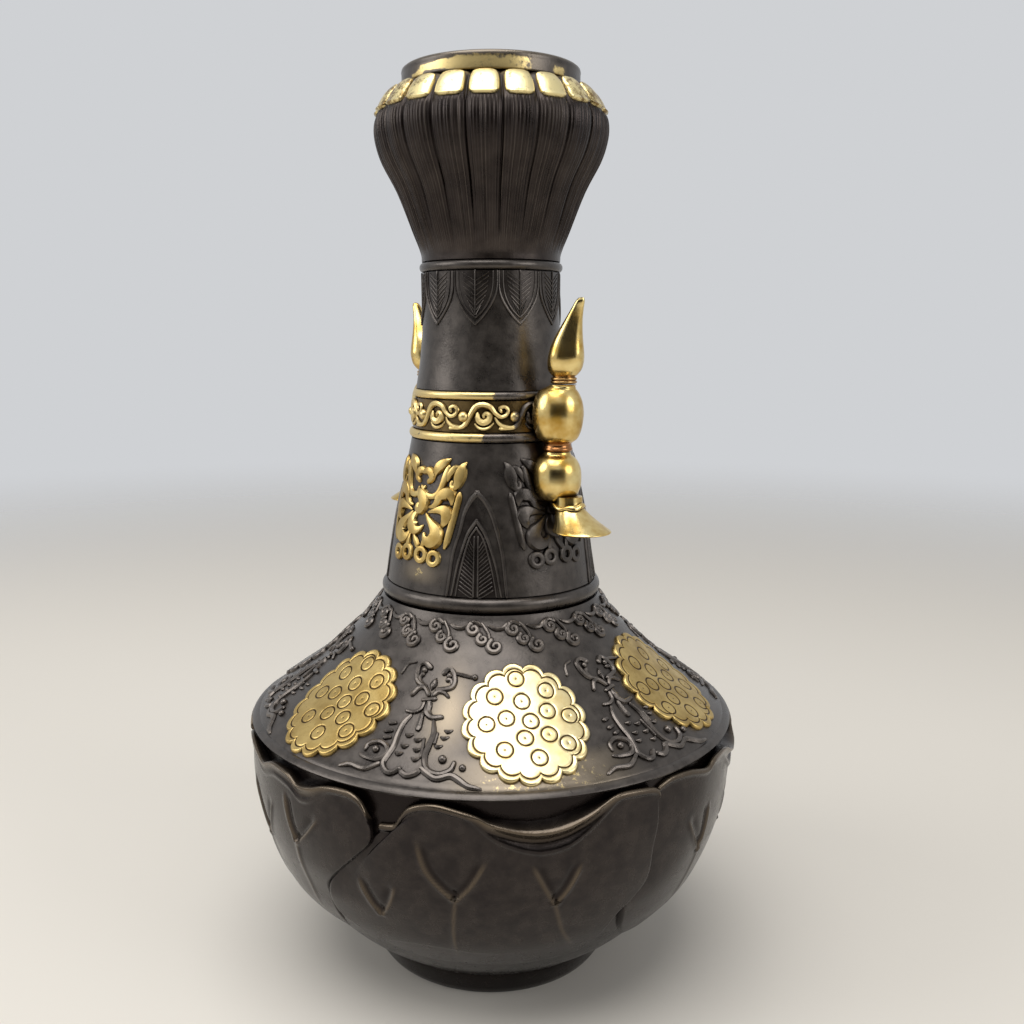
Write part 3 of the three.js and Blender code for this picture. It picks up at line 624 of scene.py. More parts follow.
# Medallions: scalloped gilt plates with ring-and-dot seeds, lying on the cone
medallion = {"radius": 19.6, "scallops": 17, "scallopDepth": 2.0, "arc": 22.4, "thickness": 1.1,
             "stretch": 1.08, "apex": 80, "cells": 150, "line": 0.885, "ring": 2.4, "groove": 0.22,
             "edge": 0.05,
             "seeds": [(-0.9, 14.1), (-8, 9.1), (7.7, 10.2), (-0.1, 7), (-5.5, 2), (7.1, 3.7), (13.6, 2.1),
                       (-11.6, 0.8), (1.6, 0.6), (-1, -4.7), (6.3, -3.9), (-7.5, -7.9), (11.4, -6.9),
                       (2.1, -11.1)]}


def medallionPlate(degrees, turn, down):
    seeds = np.array(medallion["seeds"]) @ np.array([[math.cos(turn), math.sin(turn)],
                                                     [-math.sin(turn), math.cos(turn)]])
    fields = {}

    def place(u, v):
        a, b = 2 * u - 1, 2 * v - 1
        x, y = a * np.sqrt(1 - b * b / 2), b * np.sqrt(1 - a * a / 2)
        angle = np.arctan2(y, x)
        lobe = np.abs(np.sin(angle * medallion["scallops"] / 2)) ** 0.6
        outer = medallion["radius"] - medallion["scallopDepth"] * (1 - lobe)
        share = np.hypot(x, y)
        x, y = x * outer, y * outer
        fields["line"] = (share - medallion["line"]) * outer
        toSeed = np.min([np.hypot(x - sx, y - sy) for sx, sy in seeds], axis=0)
        fields["ring"] = toSeed - medallion["ring"]
        fields["dot"] = toSeed
        groove = (np.exp(-(fields["line"] / 0.3) ** 2) + np.exp(-(fields["ring"] / 0.28) ** 2)
                  + 0.8 * np.exp(-(toSeed / 0.4) ** 2))
        rim = np.clip((share - (1 - medallion["edge"])) / medallion["edge"], 0, 1)
        drop = 1 - np.sqrt(1 - rim ** 2)
        lift = medallion["thickness"] - medallion["groove"] * groove - drop * (medallion["thickness"] + 0.6)
        lift = lift + 0.08 * softStep(0.91, 0.95, share)
        toApex = medallion["apex"]
        y = y * medallion["stretch"] - down
        far = np.hypot(toApex - y, x)
        up = medallion["arc"] + toApex - far
        across = np.arctan2(x, toApex - y) * far
        return onSkin(shoulderSkin, degrees, across, up, lift)

    bm = grid(medallion["cells"], medallion["cells"], place)
    for name, values in fields.items():
        mark(bm, name, values)
    return filled(bm)


# Engraved plates: dark wax-filled lines where the plate is cut
def engraved(material):
    tree = material.node_tree
    shader = tree.nodes["Principled BSDF"]
    colour = shader.inputs["Base Color"].links[0].from_socket
    line = addNode(tree, "ShaderNodeAttribute", attribute_name="line")
    ring = addNode(tree, "ShaderNodeAttribute", attribute_name="ring")
    dot = addNode(tree, "ShaderNodeAttribute", attribute_name="dot")
    away = [addNode(tree, "ShaderNodeMath", {0: node.outputs["Fac"]}, operation="ABSOLUTE").outputs["Value"]
            for node in (line, ring)]
    near = addNode(tree, "ShaderNodeMath", {0: away[0], 1: away[1]}, operation="MINIMUM")
    nearest = addNode(tree, "ShaderNodeMath", {0: near.outputs["Value"], 1: dot.outputs["Fac"]},
                      operation="MINIMUM")
    clear = addNode(tree, "ShaderNodeMapRange", {"Value": nearest.outputs["Value"], "From Min": 0.16,
                                                 "From Max": 0.36})
    cut = addNode(tree, "ShaderNodeMix", {"Factor": clear.outputs["Result"], "A": linear("#3d2a12"),
                                          "B": colour}, data_type="RGBA")
    tree.links.new(cut.outputs["Result"], shader.inputs["Base Color"])
    return material


# The plate facing the camera and the overhead lamp gets a paler copy of the gilding, its paleness a painted
# reflection of that light; the others get a darker, rougher copy, darker as painted shade
brightPlate = engraved(fireGilding("paleLitGilding", {**brightLook, "deep": "#d6bf86", "light": "#efdfae",
                                                       "speck": 0.2, "rough": 0.3, "bump": 0.12}))
mattePlate = engraved(fireGilding("shadedMatteGilding", {**brightLook, "deep": "#a68b52", "light": "#ccb172",
                                                   "pit": 0.7, "speck": 0.31, "under": "#6b5528",
                                                   "recessShade": "#4f3b1a", "recessDepth": 2.2,
                                                   "rough": 0.36, "bump": 0.2}))
barePlate = engraved(patinatedBronze("engravedBronze", reliefLook))
# Angle, turn of the seeds, shift down the slope and material of each plate, pale with a painted reflection
# or darker with painted shade; one plate has lost its gilding
plates = [(2.6, 0, 0.8, mattePlate), (60, 0, 0, brightPlate), (116.2, 200, -1.4, mattePlate),
          (180, 111, 0, mattePlate), (240, 148, 0, mattePlate), (300, 185, 0, barePlate)]
for k, (at, turn, down, plateMaterial) in enumerate(plates):
    plate = medallionPlate(at, math.radians(turn), down)
    slot = "fire_gilding" if k < 2 else "worn_gilding"
    finish(plate, f"lotusPodMedallion{k + 1}", plateMaterial, slot, f"lotus_pod_medallion_{k + 1}")
print("shoulder and medallions done")

# Sprigs between the medallions: x round the vase, up the slope, half-width
sprig = {
    "lines": [
        [(-1.4, 34.1, 0.5), (-4.2, 35.6, 0.6), (-5.4, 38.2, 0.6), (-5.4, 41, 0.5), (-3.6, 42.1, 0.5),
         (-1.8, 41, 0.7)],
        [(-1.2, 34.4, 0.4), (-3.2, 35.5, 0.4), (-4, 37, 0.4), (-3.4, 38.1, 0.5)],
        [(2.9, 33.6, 0.5), (6.8, 34.7, 0.6), (7.4, 37, 0.6), (6.2, 40, 0.5), (4.6, 41, 0.5),
         (3.5, 39.7, 0.7)],
        [(5.2, 33.9, 0.4), (6.9, 35.3, 0.4), (6.1, 37.2, 0.4), (5.2, 37.2, 0.5)],
        [(1, 33.5, 0.2), (1.1, 35.3, 0.9), (1.4, 37.4, 0.15)],
        [(-4.7, 31.1, 0.5), (-3.2, 33.5, 0.55), (-1.3, 33.8, 0.55), (0.6, 31.7, 0.5)],
        [(2.1, 31.6, 0.5), (3.3, 33, 0.5), (5.2, 32.9, 0.5), (6.8, 31.7, 0.4)],
        [(-0.6, 29.7, 0.4), (2.9, 30.5, 0.5)],
        [(0, 28.6, 0.45), (-0.3, 26.6, 0.45), (-2.1, 25.3, 0.45), (-4.6, 25.3, 0.4)],
        [(1.7, 28.2, 0.9), (2, 25.9, 0.9), (4, 24.2, 0.7), (6.8, 24.6, 0.5)],
        [(-2.8, 23.9, 0.4), (-4.2, 20.6, 0.55), (-4.5, 16.4, 0.65), (-4.3, 12.6, 0.65), (-4.9, 9.5, 0.6),
         (-5.4, 6.5, 0.6), (-3.5, 4.2, 0.6), (-1.5, 4, 0.6), (0, 5.5, 0.7)],
        [(5, 22.9, 0.4), (6.4, 18.7, 0.6), (6.4, 14.3, 0.7), (6.4, 10.9, 0.7), (7.5, 7.8, 0.6),
         (9.6, 5.9, 0.6), (12.8, 5.5, 0.6), (15.2, 7, 0.6), (15.6, 9.2, 0.5)],
        [(0.7, 24.7, 0.5), (1.1, 20.1, 0.8)],
        [(-6.8, 20.5, 0.4), (-8.3, 20.2, 0.5)], [(-7, 17.6, 0.4), (-8.6, 17.2, 0.5)],
        [(-6.6, 15.3, 0.4), (-8, 14.9, 0.5)],
        [(7.5, 18.8, 0.35), (7.8, 15.5, 0.35)], [(4.2, 16.4, 0.35), (5.4, 10.5, 0.35)],
        [(-19.2, 2.6, 0.4), (-15.8, 4, 0.55), (-10.8, 3.7, 0.6), (-6.6, 6.2, 0.5)],
        [(1.2, 4.7, 0.6), (3.3, 3.8, 0.65), (5.8, 5.1, 0.7), (6.5, 6.6, 0.6), (8.6, 5.4, 0.65),
         (12, 3.9, 0.7), (15.7, 5.1, 0.75), (18.3, 4.1, 0.75), (21.7, 2, 0.7), (25.4, 1.2, 0.4)],
        [(-10.9, 37.5, 0.3), (-9.6, 40.9, 0.3), (-7.2, 42, 0.3)],
        [(-13.8, 7.8, 0.35), (-11.5, 7.3, 0.5), (-7.5, 7.4, 0.6), (-5.6, 9.6, 0.6), (-6.4, 12.2, 0.6),
         (-9.3, 13.2, 0.6), (-12.4, 11.8, 0.5), (-12.9, 9.8, 0.4)],
        [(6.6, 39.7, 0.4), (9.4, 39.2, 0.45), (12, 38.6, 0.4)]],
    "seeds": [(-0.9, 17, 0.8), (-1, 13.2, 0.8), (-1.8, 10.4, 0.75), (2.3, 15.8, 0.8), (3.2, 12.5, 0.8),
              (3.8, 9.3, 0.75), (10.4, 19.8, 0.7), (10, 17.4, 0.7), (9.1, 14.3, 0.7)],
    "balls": [(11.9, 10.2, 1.3), (18.5, 7.8, 1.1), (-9.4, 10.5, 1.2), (-3.2, 39.6, 1), (5.3, 38.6, 1),
              (13.2, 38.6, 1)],
    "fuller": 1.5,
}
for k in range(6):
    at = 30 + 60 * k
    lines = [fuller(line, sprig["fuller"]) for line in sprig["lines"]]
    lines += [[(x - 1, up + 0.3, 0.35), (x, up - 0.1, size), (x + 1.1, up + 0.5, 0.35)]
              for x, up, size in sprig["seeds"]]
    sprigMesh = joined(tubes([stroke(shoulderSkin, at, line, relief=1.0) for line in lines]),
                       *[bead(shoulderSkin, at, *ball) for ball in sprig["balls"]])
    finish(sprigMesh, f"sprig{k + 1}", relief, "patinated_bronze", "shoulder")

# Garland under the neck: twenty units of curls hanging from a wavy line
garland = {
    "count": 20, "first": 60.6, "turns": 1.2, "start": 2.2, "width": 1.0,
    "curls": [(0, 55.0, 2.0), (3.1, 51.6, 1.8), (7.2, 49.3, 2.5)],
    "lines": [[(-7.4, 56.1, 0.5), (-5.6, 55.2, 0.75), (-3.4, 55.3, 0.75), (-1.7, 56.5, 0.75),
               (0.2, 57.3, 0.7), (2, 56.4, 0.65)],
              [(2.4, 57, 0.45), (3.6, 55.4, 0.6), (4.9, 53.3, 0.6), (5.3, 51.4, 0.6), (5.9, 51.3, 0.5)]],
}


def curl(x, up, radius):  # a spiral that winds in to its middle
    points = []
    for t in np.linspace(0, 1, int(garland["turns"] * 8) + 1):
        angle = garland["start"] + t * garland["turns"] * 2 * math.pi
        far = radius * (1 - 0.8 * t)
        points.append((x + far * math.cos(angle), up + far * math.sin(angle),
                       garland["width"] * (1 - 0.25 * t)))
    return points


garlandStrokes = []
for k in range(garland["count"]):
    at = garland["first"] + k * 360 / garland["count"]
    for line in garland["lines"]:
        garlandStrokes.append(stroke(shoulderSkin, at, line, 1.0, 0.4))
    for x, up, radius in garland["curls"]:
        garlandStrokes.append(stroke(shoulderSkin, at, curl(x, up, radius), 1.15, 0.35))
finish(tubes(garlandStrokes), "garland", relief, "patinated_bronze", "shoulder")
print("sprigs and garland done")

# Neck

baseLow, baseHigh = spanOf("neck_base_ring")
bandRings = {"lower": spanOf("band_ring_lower"), "upper": spanOf("band_ring_upper")}
sleeveLow, sleeveHigh = spanOf("scroll_band")
topLow, topHigh = spanOf("neck_top_ring")
headLow = spanOf("lotus_head")[0]
neckSeam = spanOf("neck_lower")[1]


def halfRound(inner, outer, low, high, segments=200):  # a ring with a soft half-round outside
    middle, half = (low + high) / 2, (high - low) / 2
    arc = [(outer - half * 0.8 * (1 - math.cos(a)), middle + half * math.sin(a))
           for a in np.linspace(-math.pi / 2, math.pi / 2, 13)]
    return spun([(inner, low), *arc, (inner, high)], segments)


finish(halfRound(34.9, 37.6, baseLow, baseHigh), "neckBaseRing", bronze, "patinated_bronze",
       "neck_base_ring")

lowerNeck = {"outline": [(35.8, baseHigh + 0.3), (34.8, 141), (32.7, 154), (30.2, 166),
                         (26.9, bandRings["lower"][0] - 0.3)],
             "wall": 2.6, "segments": 400, "leafShade": 0.6, "leafAt": 41.3,
             "leafHalf": [(134, 8.6), (140, 8), (147, 6.6), (154, 5), (160, 3.4), (163, 1.9), (165.5, 0)],
             "drips": (8, 11, 0.5)}  # angle, spread and strength
lowerSkin = makeSkin(lowerNeck["outline"])
outside = [tuple(p) for p in smoothLine(lowerNeck["outline"], 18)]
inside = [(r - lowerNeck["wall"], z) for r, z in outside[::-1][3:-3:4]]
profile = [(31, 124.4), (33.2, 124.4), (33.2, baseLow), (34.6, baseLow), (34.6, baseHigh + 0.3), *outside,
           (24.2, outside[-1][1]), (24.2, neckSeam), (21.6, neckSeam), (21.6, outside[-1][1]), *inside,
           (31, baseHigh)]
neckMesh = spun(profile, lowerNeck["segments"])
spots = places(neckMesh)
around, z = angles(spots), spots[:, 2]
isOutside = np.hypot(spots[:, 0], spots[:, 1]) > radiusAt(lowerSkin, z) - 0.1
# The ground of the pointed leaves gets painted shade, and drips of gilding have run down from the front
# panel
fromLeaf = ((around + 45 - lowerNeck["leafAt"]) % 90 - 45) * 34 / 57.3 + 1.2
leafHalf = np.interp(z, *np.array(lowerNeck["leafHalf"]).T)
inLeaf = np.where(isOutside, 1 - softStep(leafHalf - 0.8, leafHalf, np.abs(fromLeaf)), 0)
dripAngle, dripSpread, dripStrength = lowerNeck["drips"]
drips = dripStrength * np.exp(-((around - dripAngle) / dripSpread) ** 2) * between(136, 140, 141, 146, z)
mark(neckMesh, "hollow", lowerNeck["leafShade"] * inLeaf)
mark(neckMesh, "gilt", 0.8 * drips)
mark(neckMesh, "worn", drips)
finish(neckMesh, "neckLower", bronze, "patinated_bronze", "neck_lower")

upperNeck = {"outline": [(25.2, bandRings["upper"][1] + 0.3), (23.7, 209), (22.9, 221),
                         (22.8, topLow - 0.3)],
             "segments": 360, "leafShade": 0.35,
             "leafHalf": [(220.5, 0), (223, 3), (227, 5.2), (231, 6), (236, 6.2)]}
upperSkin = makeSkin(upperNeck["outline"])
outside = [tuple(p) for p in smoothLine(upperNeck["outline"], 20)]
profile = [(19.6, 184.5), (21.3, 184.5), (21.3, neckSeam + 0.3), (24.2, neckSeam + 0.3),
           (24.2, outside[0][1]), *outside, (21.7, topLow - 0.3), (21.7, topHigh), (20.2, topHigh),
           (20.2, topLow), (19.6, 200)]
neckMesh = spun(profile, upperNeck["segments"])
spots = places(neckMesh)
fromLeaf = np.abs((angles(spots) - 2 + 18) % 36 - 18) * 22.9 / 57.3
leafHalf = np.interp(spots[:, 2], *np.array(upperNeck["leafHalf"]).T)
isOutside = np.hypot(spots[:, 0], spots[:, 1]) > radiusAt(upperSkin, spots[:, 2]) - 0.1
inLeaf = np.where(isOutside, 1 - softStep(leafHalf - 0.9, leafHalf, fromLeaf), 0)
# Painted shade on the ground of the hanging leaves
mark(neckMesh, "hollow", upperNeck["leafShade"] * inLeaf)
finish(neckMesh, "neckUpper", bronze, "patinated_bronze", "neck_upper")
finish(halfRound(22, 23.7, topLow, topHigh), "neckTopRing", bronze, "patinated_bronze", "neck_top_ring")


def frontGilt(bm, fadeFrom, fadeTo, strength):  # gilding is kept at front and back, not at the handles
    around = np.abs(angles(places(bm)))
    mark(bm, "gilt", strength * (1 - softStep(fadeFrom, fadeTo, np.minimum(around, 180 - around))))


for name, outer, gilded in (("lower", 27.7, 50), ("upper", 26.3, 59)):
    ringMesh = halfRound(24.5, outer, *bandRings[name])
    frontGilt(ringMesh, gilded - 12, gilded + 6, 0.68)
    finish(ringMesh, f"bandRing{name.capitalize()}", relief, "worn_gilding", f"band_ring_{name}")
sleeveSkin = makeSkin([(26.4, sleeveLow - 1), (26, (sleeveLow + sleeveHigh) / 2), (25.6, sleeveHigh + 1)])
sleeveMesh = spun([(24.5, sleeveLow), (26.4, sleeveLow), (25.6, sleeveHigh), (24.5, sleeveHigh)], 200)
# Painted shade, even over the sleeve behind the scrolls
mark(sleeveMesh, "hollow", 0.45)
finish(sleeveMesh, "bandSleeve", giltBronze, "fire_gilding", "scroll_band")

# Scroll band: ten running scrolls with buds
band = {
    "count": 10, "first": 31, "fuller": 1.25,
    "lines": [
        [(-4.5, 1.2, 0.5), (-0.1, 1.8, 0.65), (2, 4.9, 0.75), (3.8, 8.0, 0.8), (6, 8.9, 0.8),
         (8.5, 8.2, 0.75), (10.1, 6.2, 0.65), (12, 5, 0.6), (13.7, 5.7, 0.55), (14.2, 7.2, 0.5),
         (13, 8.3, 0.5), (11.5, 7.7, 0.5), (11.9, 6.8, 0.5)],
        [(3.9, 2.6, 0.25), (5, 1.5, 0.4), (6.6, 1.1, 0.45), (8.3, 1.6, 0.4), (9.6, 2.9, 0.25)],
        [(10.2, 4.6, 0.3), (11.2, 3.1, 0.5), (13, 1.9, 0.65), (15.2, 1.6, 0.6), (17, 2.2, 0.45),
         (18.2, 3.4, 0.25)],
        [(4.6, 5.9, 0.55), (4.9, 4.1, 0.95), (6.5, 3.2, 1.05), (8.1, 4, 1), (8.4, 5.5, 0.85),
         (7.3, 6.2, 0.6), (6.5, 5.5, 0.5), (6.7, 4.8, 0.4)]],
    "buds": [(16.4, 4.9, 1.75)], "relief": 1.3, "squeeze": 0.98,
}
bandStrokes, bandBuds = [], []
for k in range(band["count"]):
    at = band["first"] + k * 360 / band["count"]
    for line in band["lines"]:
        points = [(x, sleeveLow + z * band["squeeze"], half) for x, z, half in fuller(line, band["fuller"])]
        bandStrokes.append(stroke(sleeveSkin, at, points, band["relief"], 0.35))
    bandBuds += [bead(sleeveSkin, at, x, sleeveLow + z, size) for x, z, size in band["buds"]]
scrollMesh = joined(tubes(bandStrokes), *bandBuds)
frontGilt(scrollMesh, 60, 76, 0.8)
finish(scrollMesh, "bandScrolls", relief, "fire_gilding", "scroll_band")
print("neck and band done")

# Openwork panels on the lower neck: x from the middle, height, half-width; the side lines are mirrored
panel = {
    "sides": [
        [(14.9, 176.2, 0.3), (14.4, 175.5, 0.7), (13.9, 174.2, 1.2), (13.6, 172, 1.5), (13.4, 169.8, 1.2),
         (12.5, 168.3, 0.8), (11.4, 168.6, 0.6), (11.2, 170, 0.5)],
        [(13, 174.6, 0.5), (11.6, 174.2, 0.9), (10.4, 172.6, 0.8), (9.7, 170.6, 0.4)],
        [(9.3, 177.1, 0.3), (8.6, 176.6, 0.7), (7.2, 175.6, 1.2), (5.8, 174.4, 1.3), (4.9, 172.8, 0.9),
         (4.6, 171.6, 0.4)],
        [(-0.8, 167.8, 0.4), (0.8, 166, 0.65), (2.7, 165.1, 0.75), (5, 165, 0.75), (6.9, 166.2, 0.8),
         (8.1, 169, 0.85), (8.8, 172, 0.9), (9.2, 174.6, 0.6)],
        [(0.1, 172.6, 0.7), (1.6, 173, 0.95), (3, 172.3, 1), (3.5, 170.6, 0.8), (2.4, 169.6, 0.6)],
        [(4, 161.6, 0.3), (5.6, 161.9, 0.6), (7, 163, 0.9), (7.8, 165, 1.2), (9.6, 166.2, 1.6),
         (11.4, 166.1, 1.5), (12.3, 164.8, 1), (12.5, 163.2, 0.4)],
        [(4.2, 160, 0.3), (6, 160.5, 0.6), (8.3, 161, 1), (10.4, 160.9, 1.5), (11.5, 159.6, 1.6),
         (11.3, 157.8, 1.3), (10.6, 156.4, 0.7), (10.3, 155.6, 0.3)],
        [(14.5, 166.6, 0.4), (14.5, 165.2, 0.7), (14.2, 161.6, 0.75), (13.6, 156.3, 0.8),
         (12.9, 151.4, 0.75), (12.4, 149.4, 0.4)],
        [(3.4, 159.3, 0.3), (4.6, 158, 0.6), (6.4, 156.4, 1), (8.2, 154.6, 1.6), (8.6, 152.6, 2),
         (7.4, 151, 1.9), (5.6, 150.9, 1.4), (4.2, 151.8, 0.8), (3.5, 153, 0.4)]],
    "middle": [
        [(-2.3, 167.4, 0.3), (-1.6, 166.4, 0.8), (-0.2, 165.5, 1.4), (1.3, 164, 1.6), (1.6, 162, 1.5),
         (0.6, 160.4, 1.2), (-0.9, 160.4, 0.9), (-1.3, 161.6, 0.7), (-0.4, 162.2, 0.5)],
        [(-1, 159.6, 0.4), (-2.2, 158.2, 0.9), (-2.7, 156.4, 1.4), (-2, 154.6, 1.6), (-0.4, 153.8, 1.3),
         (1.2, 154.2, 0.8), (2.6, 155.4, 0.3)],
        [(-0.8, 152.3, 0.4), (0.2, 150.8, 0.65), (1.6, 149, 0.7)],
        [(4.2, 152.2, 0.4), (4, 150.6, 0.65), (3.7, 149, 0.7)],
        [(-3, 152.2, 0.4), (-3.3, 150.6, 0.65), (-3.5, 149, 0.7)]],
    "loops": [(3.4, 146.3, 2), (8.6, 145.6, 1.9), (-3.4, 146.3, 2), (-8.6, 145.6, 1.9)],
    "fuller": 1.5, "relief": 1.5, "frontShift": 2,
}
for k, side in enumerate(("front", "right", "back", "left")):
    lines = [fuller([(s * x, z, half) for x, z, half in line], panel["fuller"]) for line in panel["sides"]
             for s in (1, -1)]
    lines += [fuller(line, panel["fuller"]) for line in panel["middle"]]
    lines += [[(x + radius * math.cos(a), z + radius * math.sin(a), 1) for a in np.linspace(0, 6.3, 25)]
              for x, z, radius in panel["loops"]]
    shift = panel["frontShift"] if side == "front" else 0
    lines = [[(x + shift, z, half) for x, z, half in line] for line in lines]
    panelMesh = pressed(lowerSkin, 90 * k, lines, panel["relief"])
    finish(panelMesh, f"scrollPanel{side.capitalize()}", softGilding if side == "front" else bronze,
           "fire_gilding" if side == "front" else "patinated_bronze", f"scroll_panel_{side}")

# Pointed leaves of fine lines on the lower neck
lowerLeaf = {
    "lines": [
        [(-1.5, 167.0, 1.0), (-3.7, 164.5, 0.9), (-5.6, 160.6, 0.75), (-6.9, 155.2, 0.65), (-9, 148.5, 0.6),
         (-10.3, 139.6, 0.55), (-11.1, 134.8, 0.5)],
        [(-1.5, 167.0, 1.0), (0.8, 164.9, 0.9), (3.1, 160.8, 0.75), (4.9, 155.5, 0.65), (6.8, 148, 0.6),
         (7.8, 140.1, 0.55), (8.4, 134.8, 0.5)],
        [(-1.5, 158.4, 0.65), (-4.1, 154.6, 0.6), (-5.8, 150, 0.5), (-7.6, 144, 0.45), (-8.8, 138, 0.4),
         (-9.5, 134.8, 0.4)],
        [(-1.5, 158.4, 0.65), (1.1, 154.6, 0.6), (3, 150, 0.5), (4.9, 144, 0.45), (6.1, 138, 0.4),
         (6.7, 134.8, 0.4)],
        [(-1.5, 156.2, 0.4), (-3.7, 152.8, 0.35), (-5.7, 146, 0.35), (-7.3, 139, 0.3), (-8, 134.8, 0.3)],
        [(-1.5, 156.2, 0.4), (0.7, 152.8, 0.35), (2.9, 146, 0.35), (4.5, 139, 0.3), (5.2, 134.8, 0.3)],
        [(-2.1, 153.5, 0.25), (-2.2, 134.8, 0.35)], [(-0.9, 153.5, 0.25), (-0.8, 134.8, 0.35)]],
    "middle": -1.5, "veinFrom": 135, "veinTo": 152.5, "veins": 14,
    "feather": [(134, 5.6), (146, 4.1), (153, 2.1), (158, 0.3)],
}
leafStrokes = []
for k in range(4):
    at = 45 + 90 * k
    leafStrokes += [stroke(lowerSkin, at, line, 0.55, 0.8) for line in lowerLeaf["lines"]]
    for z in np.linspace(lowerLeaf["veinFrom"], lowerLeaf["veinTo"], lowerLeaf["veins"], endpoint=False):
        half = np.interp(z, *np.array(lowerLeaf["feather"]).T)
        for s in (-1, 1):
            vein = [(lowerLeaf["middle"] + s * 0.9, z - 1.2, 0.22),
                    (lowerLeaf["middle"] + s * half, z + 1.8, 0.2)]
            leafStrokes.append(stroke(lowerSkin, at, vein, 0.36, 0.9))
finish(tubes(leafStrokes), "neckLeavesLower", bronze, "patinated_bronze", "neck_lower")

# Hanging pointed leaves on the upper neck, drawn for one side and mirrored
hanging = {
    "count": 10, "first": 2, "veins": 8,
    "lines": [
        [(0, 219.7, 0.45), (2.2, 221.9, 0.45), (4.3, 224.7, 0.42), (6, 227.8, 0.4), (6.8, 231, 0.3),
         (6.9, 236, 0.25)],
        [(0, 221.6, 0.3), (2.1, 223.6, 0.3), (3.9, 226.2, 0.28), (5, 229, 0.25), (5.5, 232, 0.22),
         (5.6, 236, 0.2)]],
    "feather": [(223, 0.4), (226, 2.3), (229, 3.4), (232, 4), (236, 4.2)],
    "veinFrom": 222.6, "veinStep": 1.5, "veinTop": 235.6, "top": topLow - 0.4,
}
hangStrokes = []
for k in range(hanging["count"]):
    at = hanging["first"] + 360 * k / hanging["count"]
    for s in (-1, 1):
        for line in hanging["lines"]:
            points = [(s * x, min(z, hanging["top"]), half) for x, z, half in line]
            hangStrokes.append(stroke(upperSkin, at, points, 0.5, 0.6))
        for i in range(hanging["veins"]):
            z = hanging["veinFrom"] + i * hanging["veinStep"]
            wide = np.interp(z + 2.6, *np.array(hanging["feather"]).T)
            vein = [(s * 0.3, z, 0.22), (s * wide, min(z + 2.8, hanging["veinTop"]), 0.2)]
            hangStrokes.append(stroke(upperSkin, at, vein, 0.4, 0.7))
    hangStrokes.append(stroke(upperSkin, at, [(0, 222.5, 0.22), (0, hanging["top"], 0.35)], 0.45, 0.8))
finish(tubes(hangStrokes), "neckLeavesUpper", bronze, "patinated_bronze", "neck_upper")
print("panels and neck leaves done")

# Mouth

head = {"outline": [(22.9, headLow + 5.2), (23.3, 243), (26, 250.4), (30.6, 262), (35.4, 271), (37.4, 277),
                    (37.9, 281.5), (37.3, 285), (36, 288), (34.6, 290.3), (33, 292), (31, 293.4),
                    (29.3, 294)],
        "flutes": 21, "phase": 55.8, "depth": 1.45, "segments": 1260,
        "ridges": 10, "ridgeHeight": 0.34, "ridgeWidth": 0.24, "seed": 5}
headSkin = makeSkin(head["outline"])
ridgeCount = head["flutes"] * head["ridges"]
chance = np.random.default_rng(head["seed"])
ridgePlace = chance.uniform(0.3, 0.7, ridgeCount)
ridgeStrength = chance.uniform(0.35, 1.25, ridgeCount)


def lobes(around, z):  # how far the flutes cut into the bulb
    share = ((around - head["phase"]) * head["flutes"] / 360) % 1
    fromMiddle = np.abs(2 * share - 1)
    grow = softStep(240.5, 264, z) * (1 - 0.4 * softStep(291, 294, z))
    return -head["depth"] * (1 - (1 - fromMiddle ** 2.6) ** 0.75) * grow, fromMiddle, grow


def fineRidges(around):  # irregular fine ridges, 0 to about 1.2
    t = (around - head["phase"]) * ridgeCount / 360
    base = np.floor(t).astype(int)
    value = np.zeros(len(t))
    for k in (base - 1, base, base + 1):
        gap = t - k - ridgePlace[k % ridgeCount]
        value = np.maximum(value, ridgeStrength[k % ridgeCount] * np.exp(-(gap / head["ridgeWidth"]) ** 2))
    return value


outside = [tuple(p) for p in smoothLine(head["outline"], 4)]
inside = [(26.6, 294), (26.4, 293.8), (26.4, 290.8), (32.6, 287.6), (34, 281.5), (32.4, 272.5), (27.8, 263),
          (19.6, 243), (17.8, headLow + 5), (17.8, headLow), (19.9, headLow), (19.9, headLow + 5.2)]
headMesh = spun([*outside, *inside], head["segments"])
spots = places(headMesh)
reach, z, around = np.hypot(spots[:, 0], spots[:, 1]), spots[:, 2], angles(spots)
isOutside = (np.abs(reach - radiusAt(headSkin, z)) < 0.02) & (reach > 22.5)
cut, fromMiddle, grow = lobes(around, z)
fine = fineRidges(around)
fineGrow = between(240.5, 250, 284.5, 286, z)
change = np.where(isOutside, cut + head["ridgeHeight"] * fine * fineGrow, 0)
outR, outZ = (np.interp(z, headSkin["line"][:, 1], headSkin["out"][:, k]) for k in (0, 1))
spots[:, :2] *= (1 + change * outR / np.maximum(reach, 1))[:, None]
spots[:, 2] += change * outZ
moveTo(headMesh, spots)
# Painted shade in the seams between the flutes and between the fine ridges
seams = np.maximum(0.5 * softStep(0.82, 0.98, fromMiddle) * grow, 0.5 * (1 - fine) * fineGrow)
mark(headMesh, "hollow", np.where(isOutside, seams, 0))
mark(headMesh, "worn", np.where(isOutside, 0.36 * np.clip(fine - 0.75, 0, 1) * fineGrow, 0))
finish(headMesh, "lotusHead", headBronze, "patinated_bronze", "lotus_head", sharp=80)

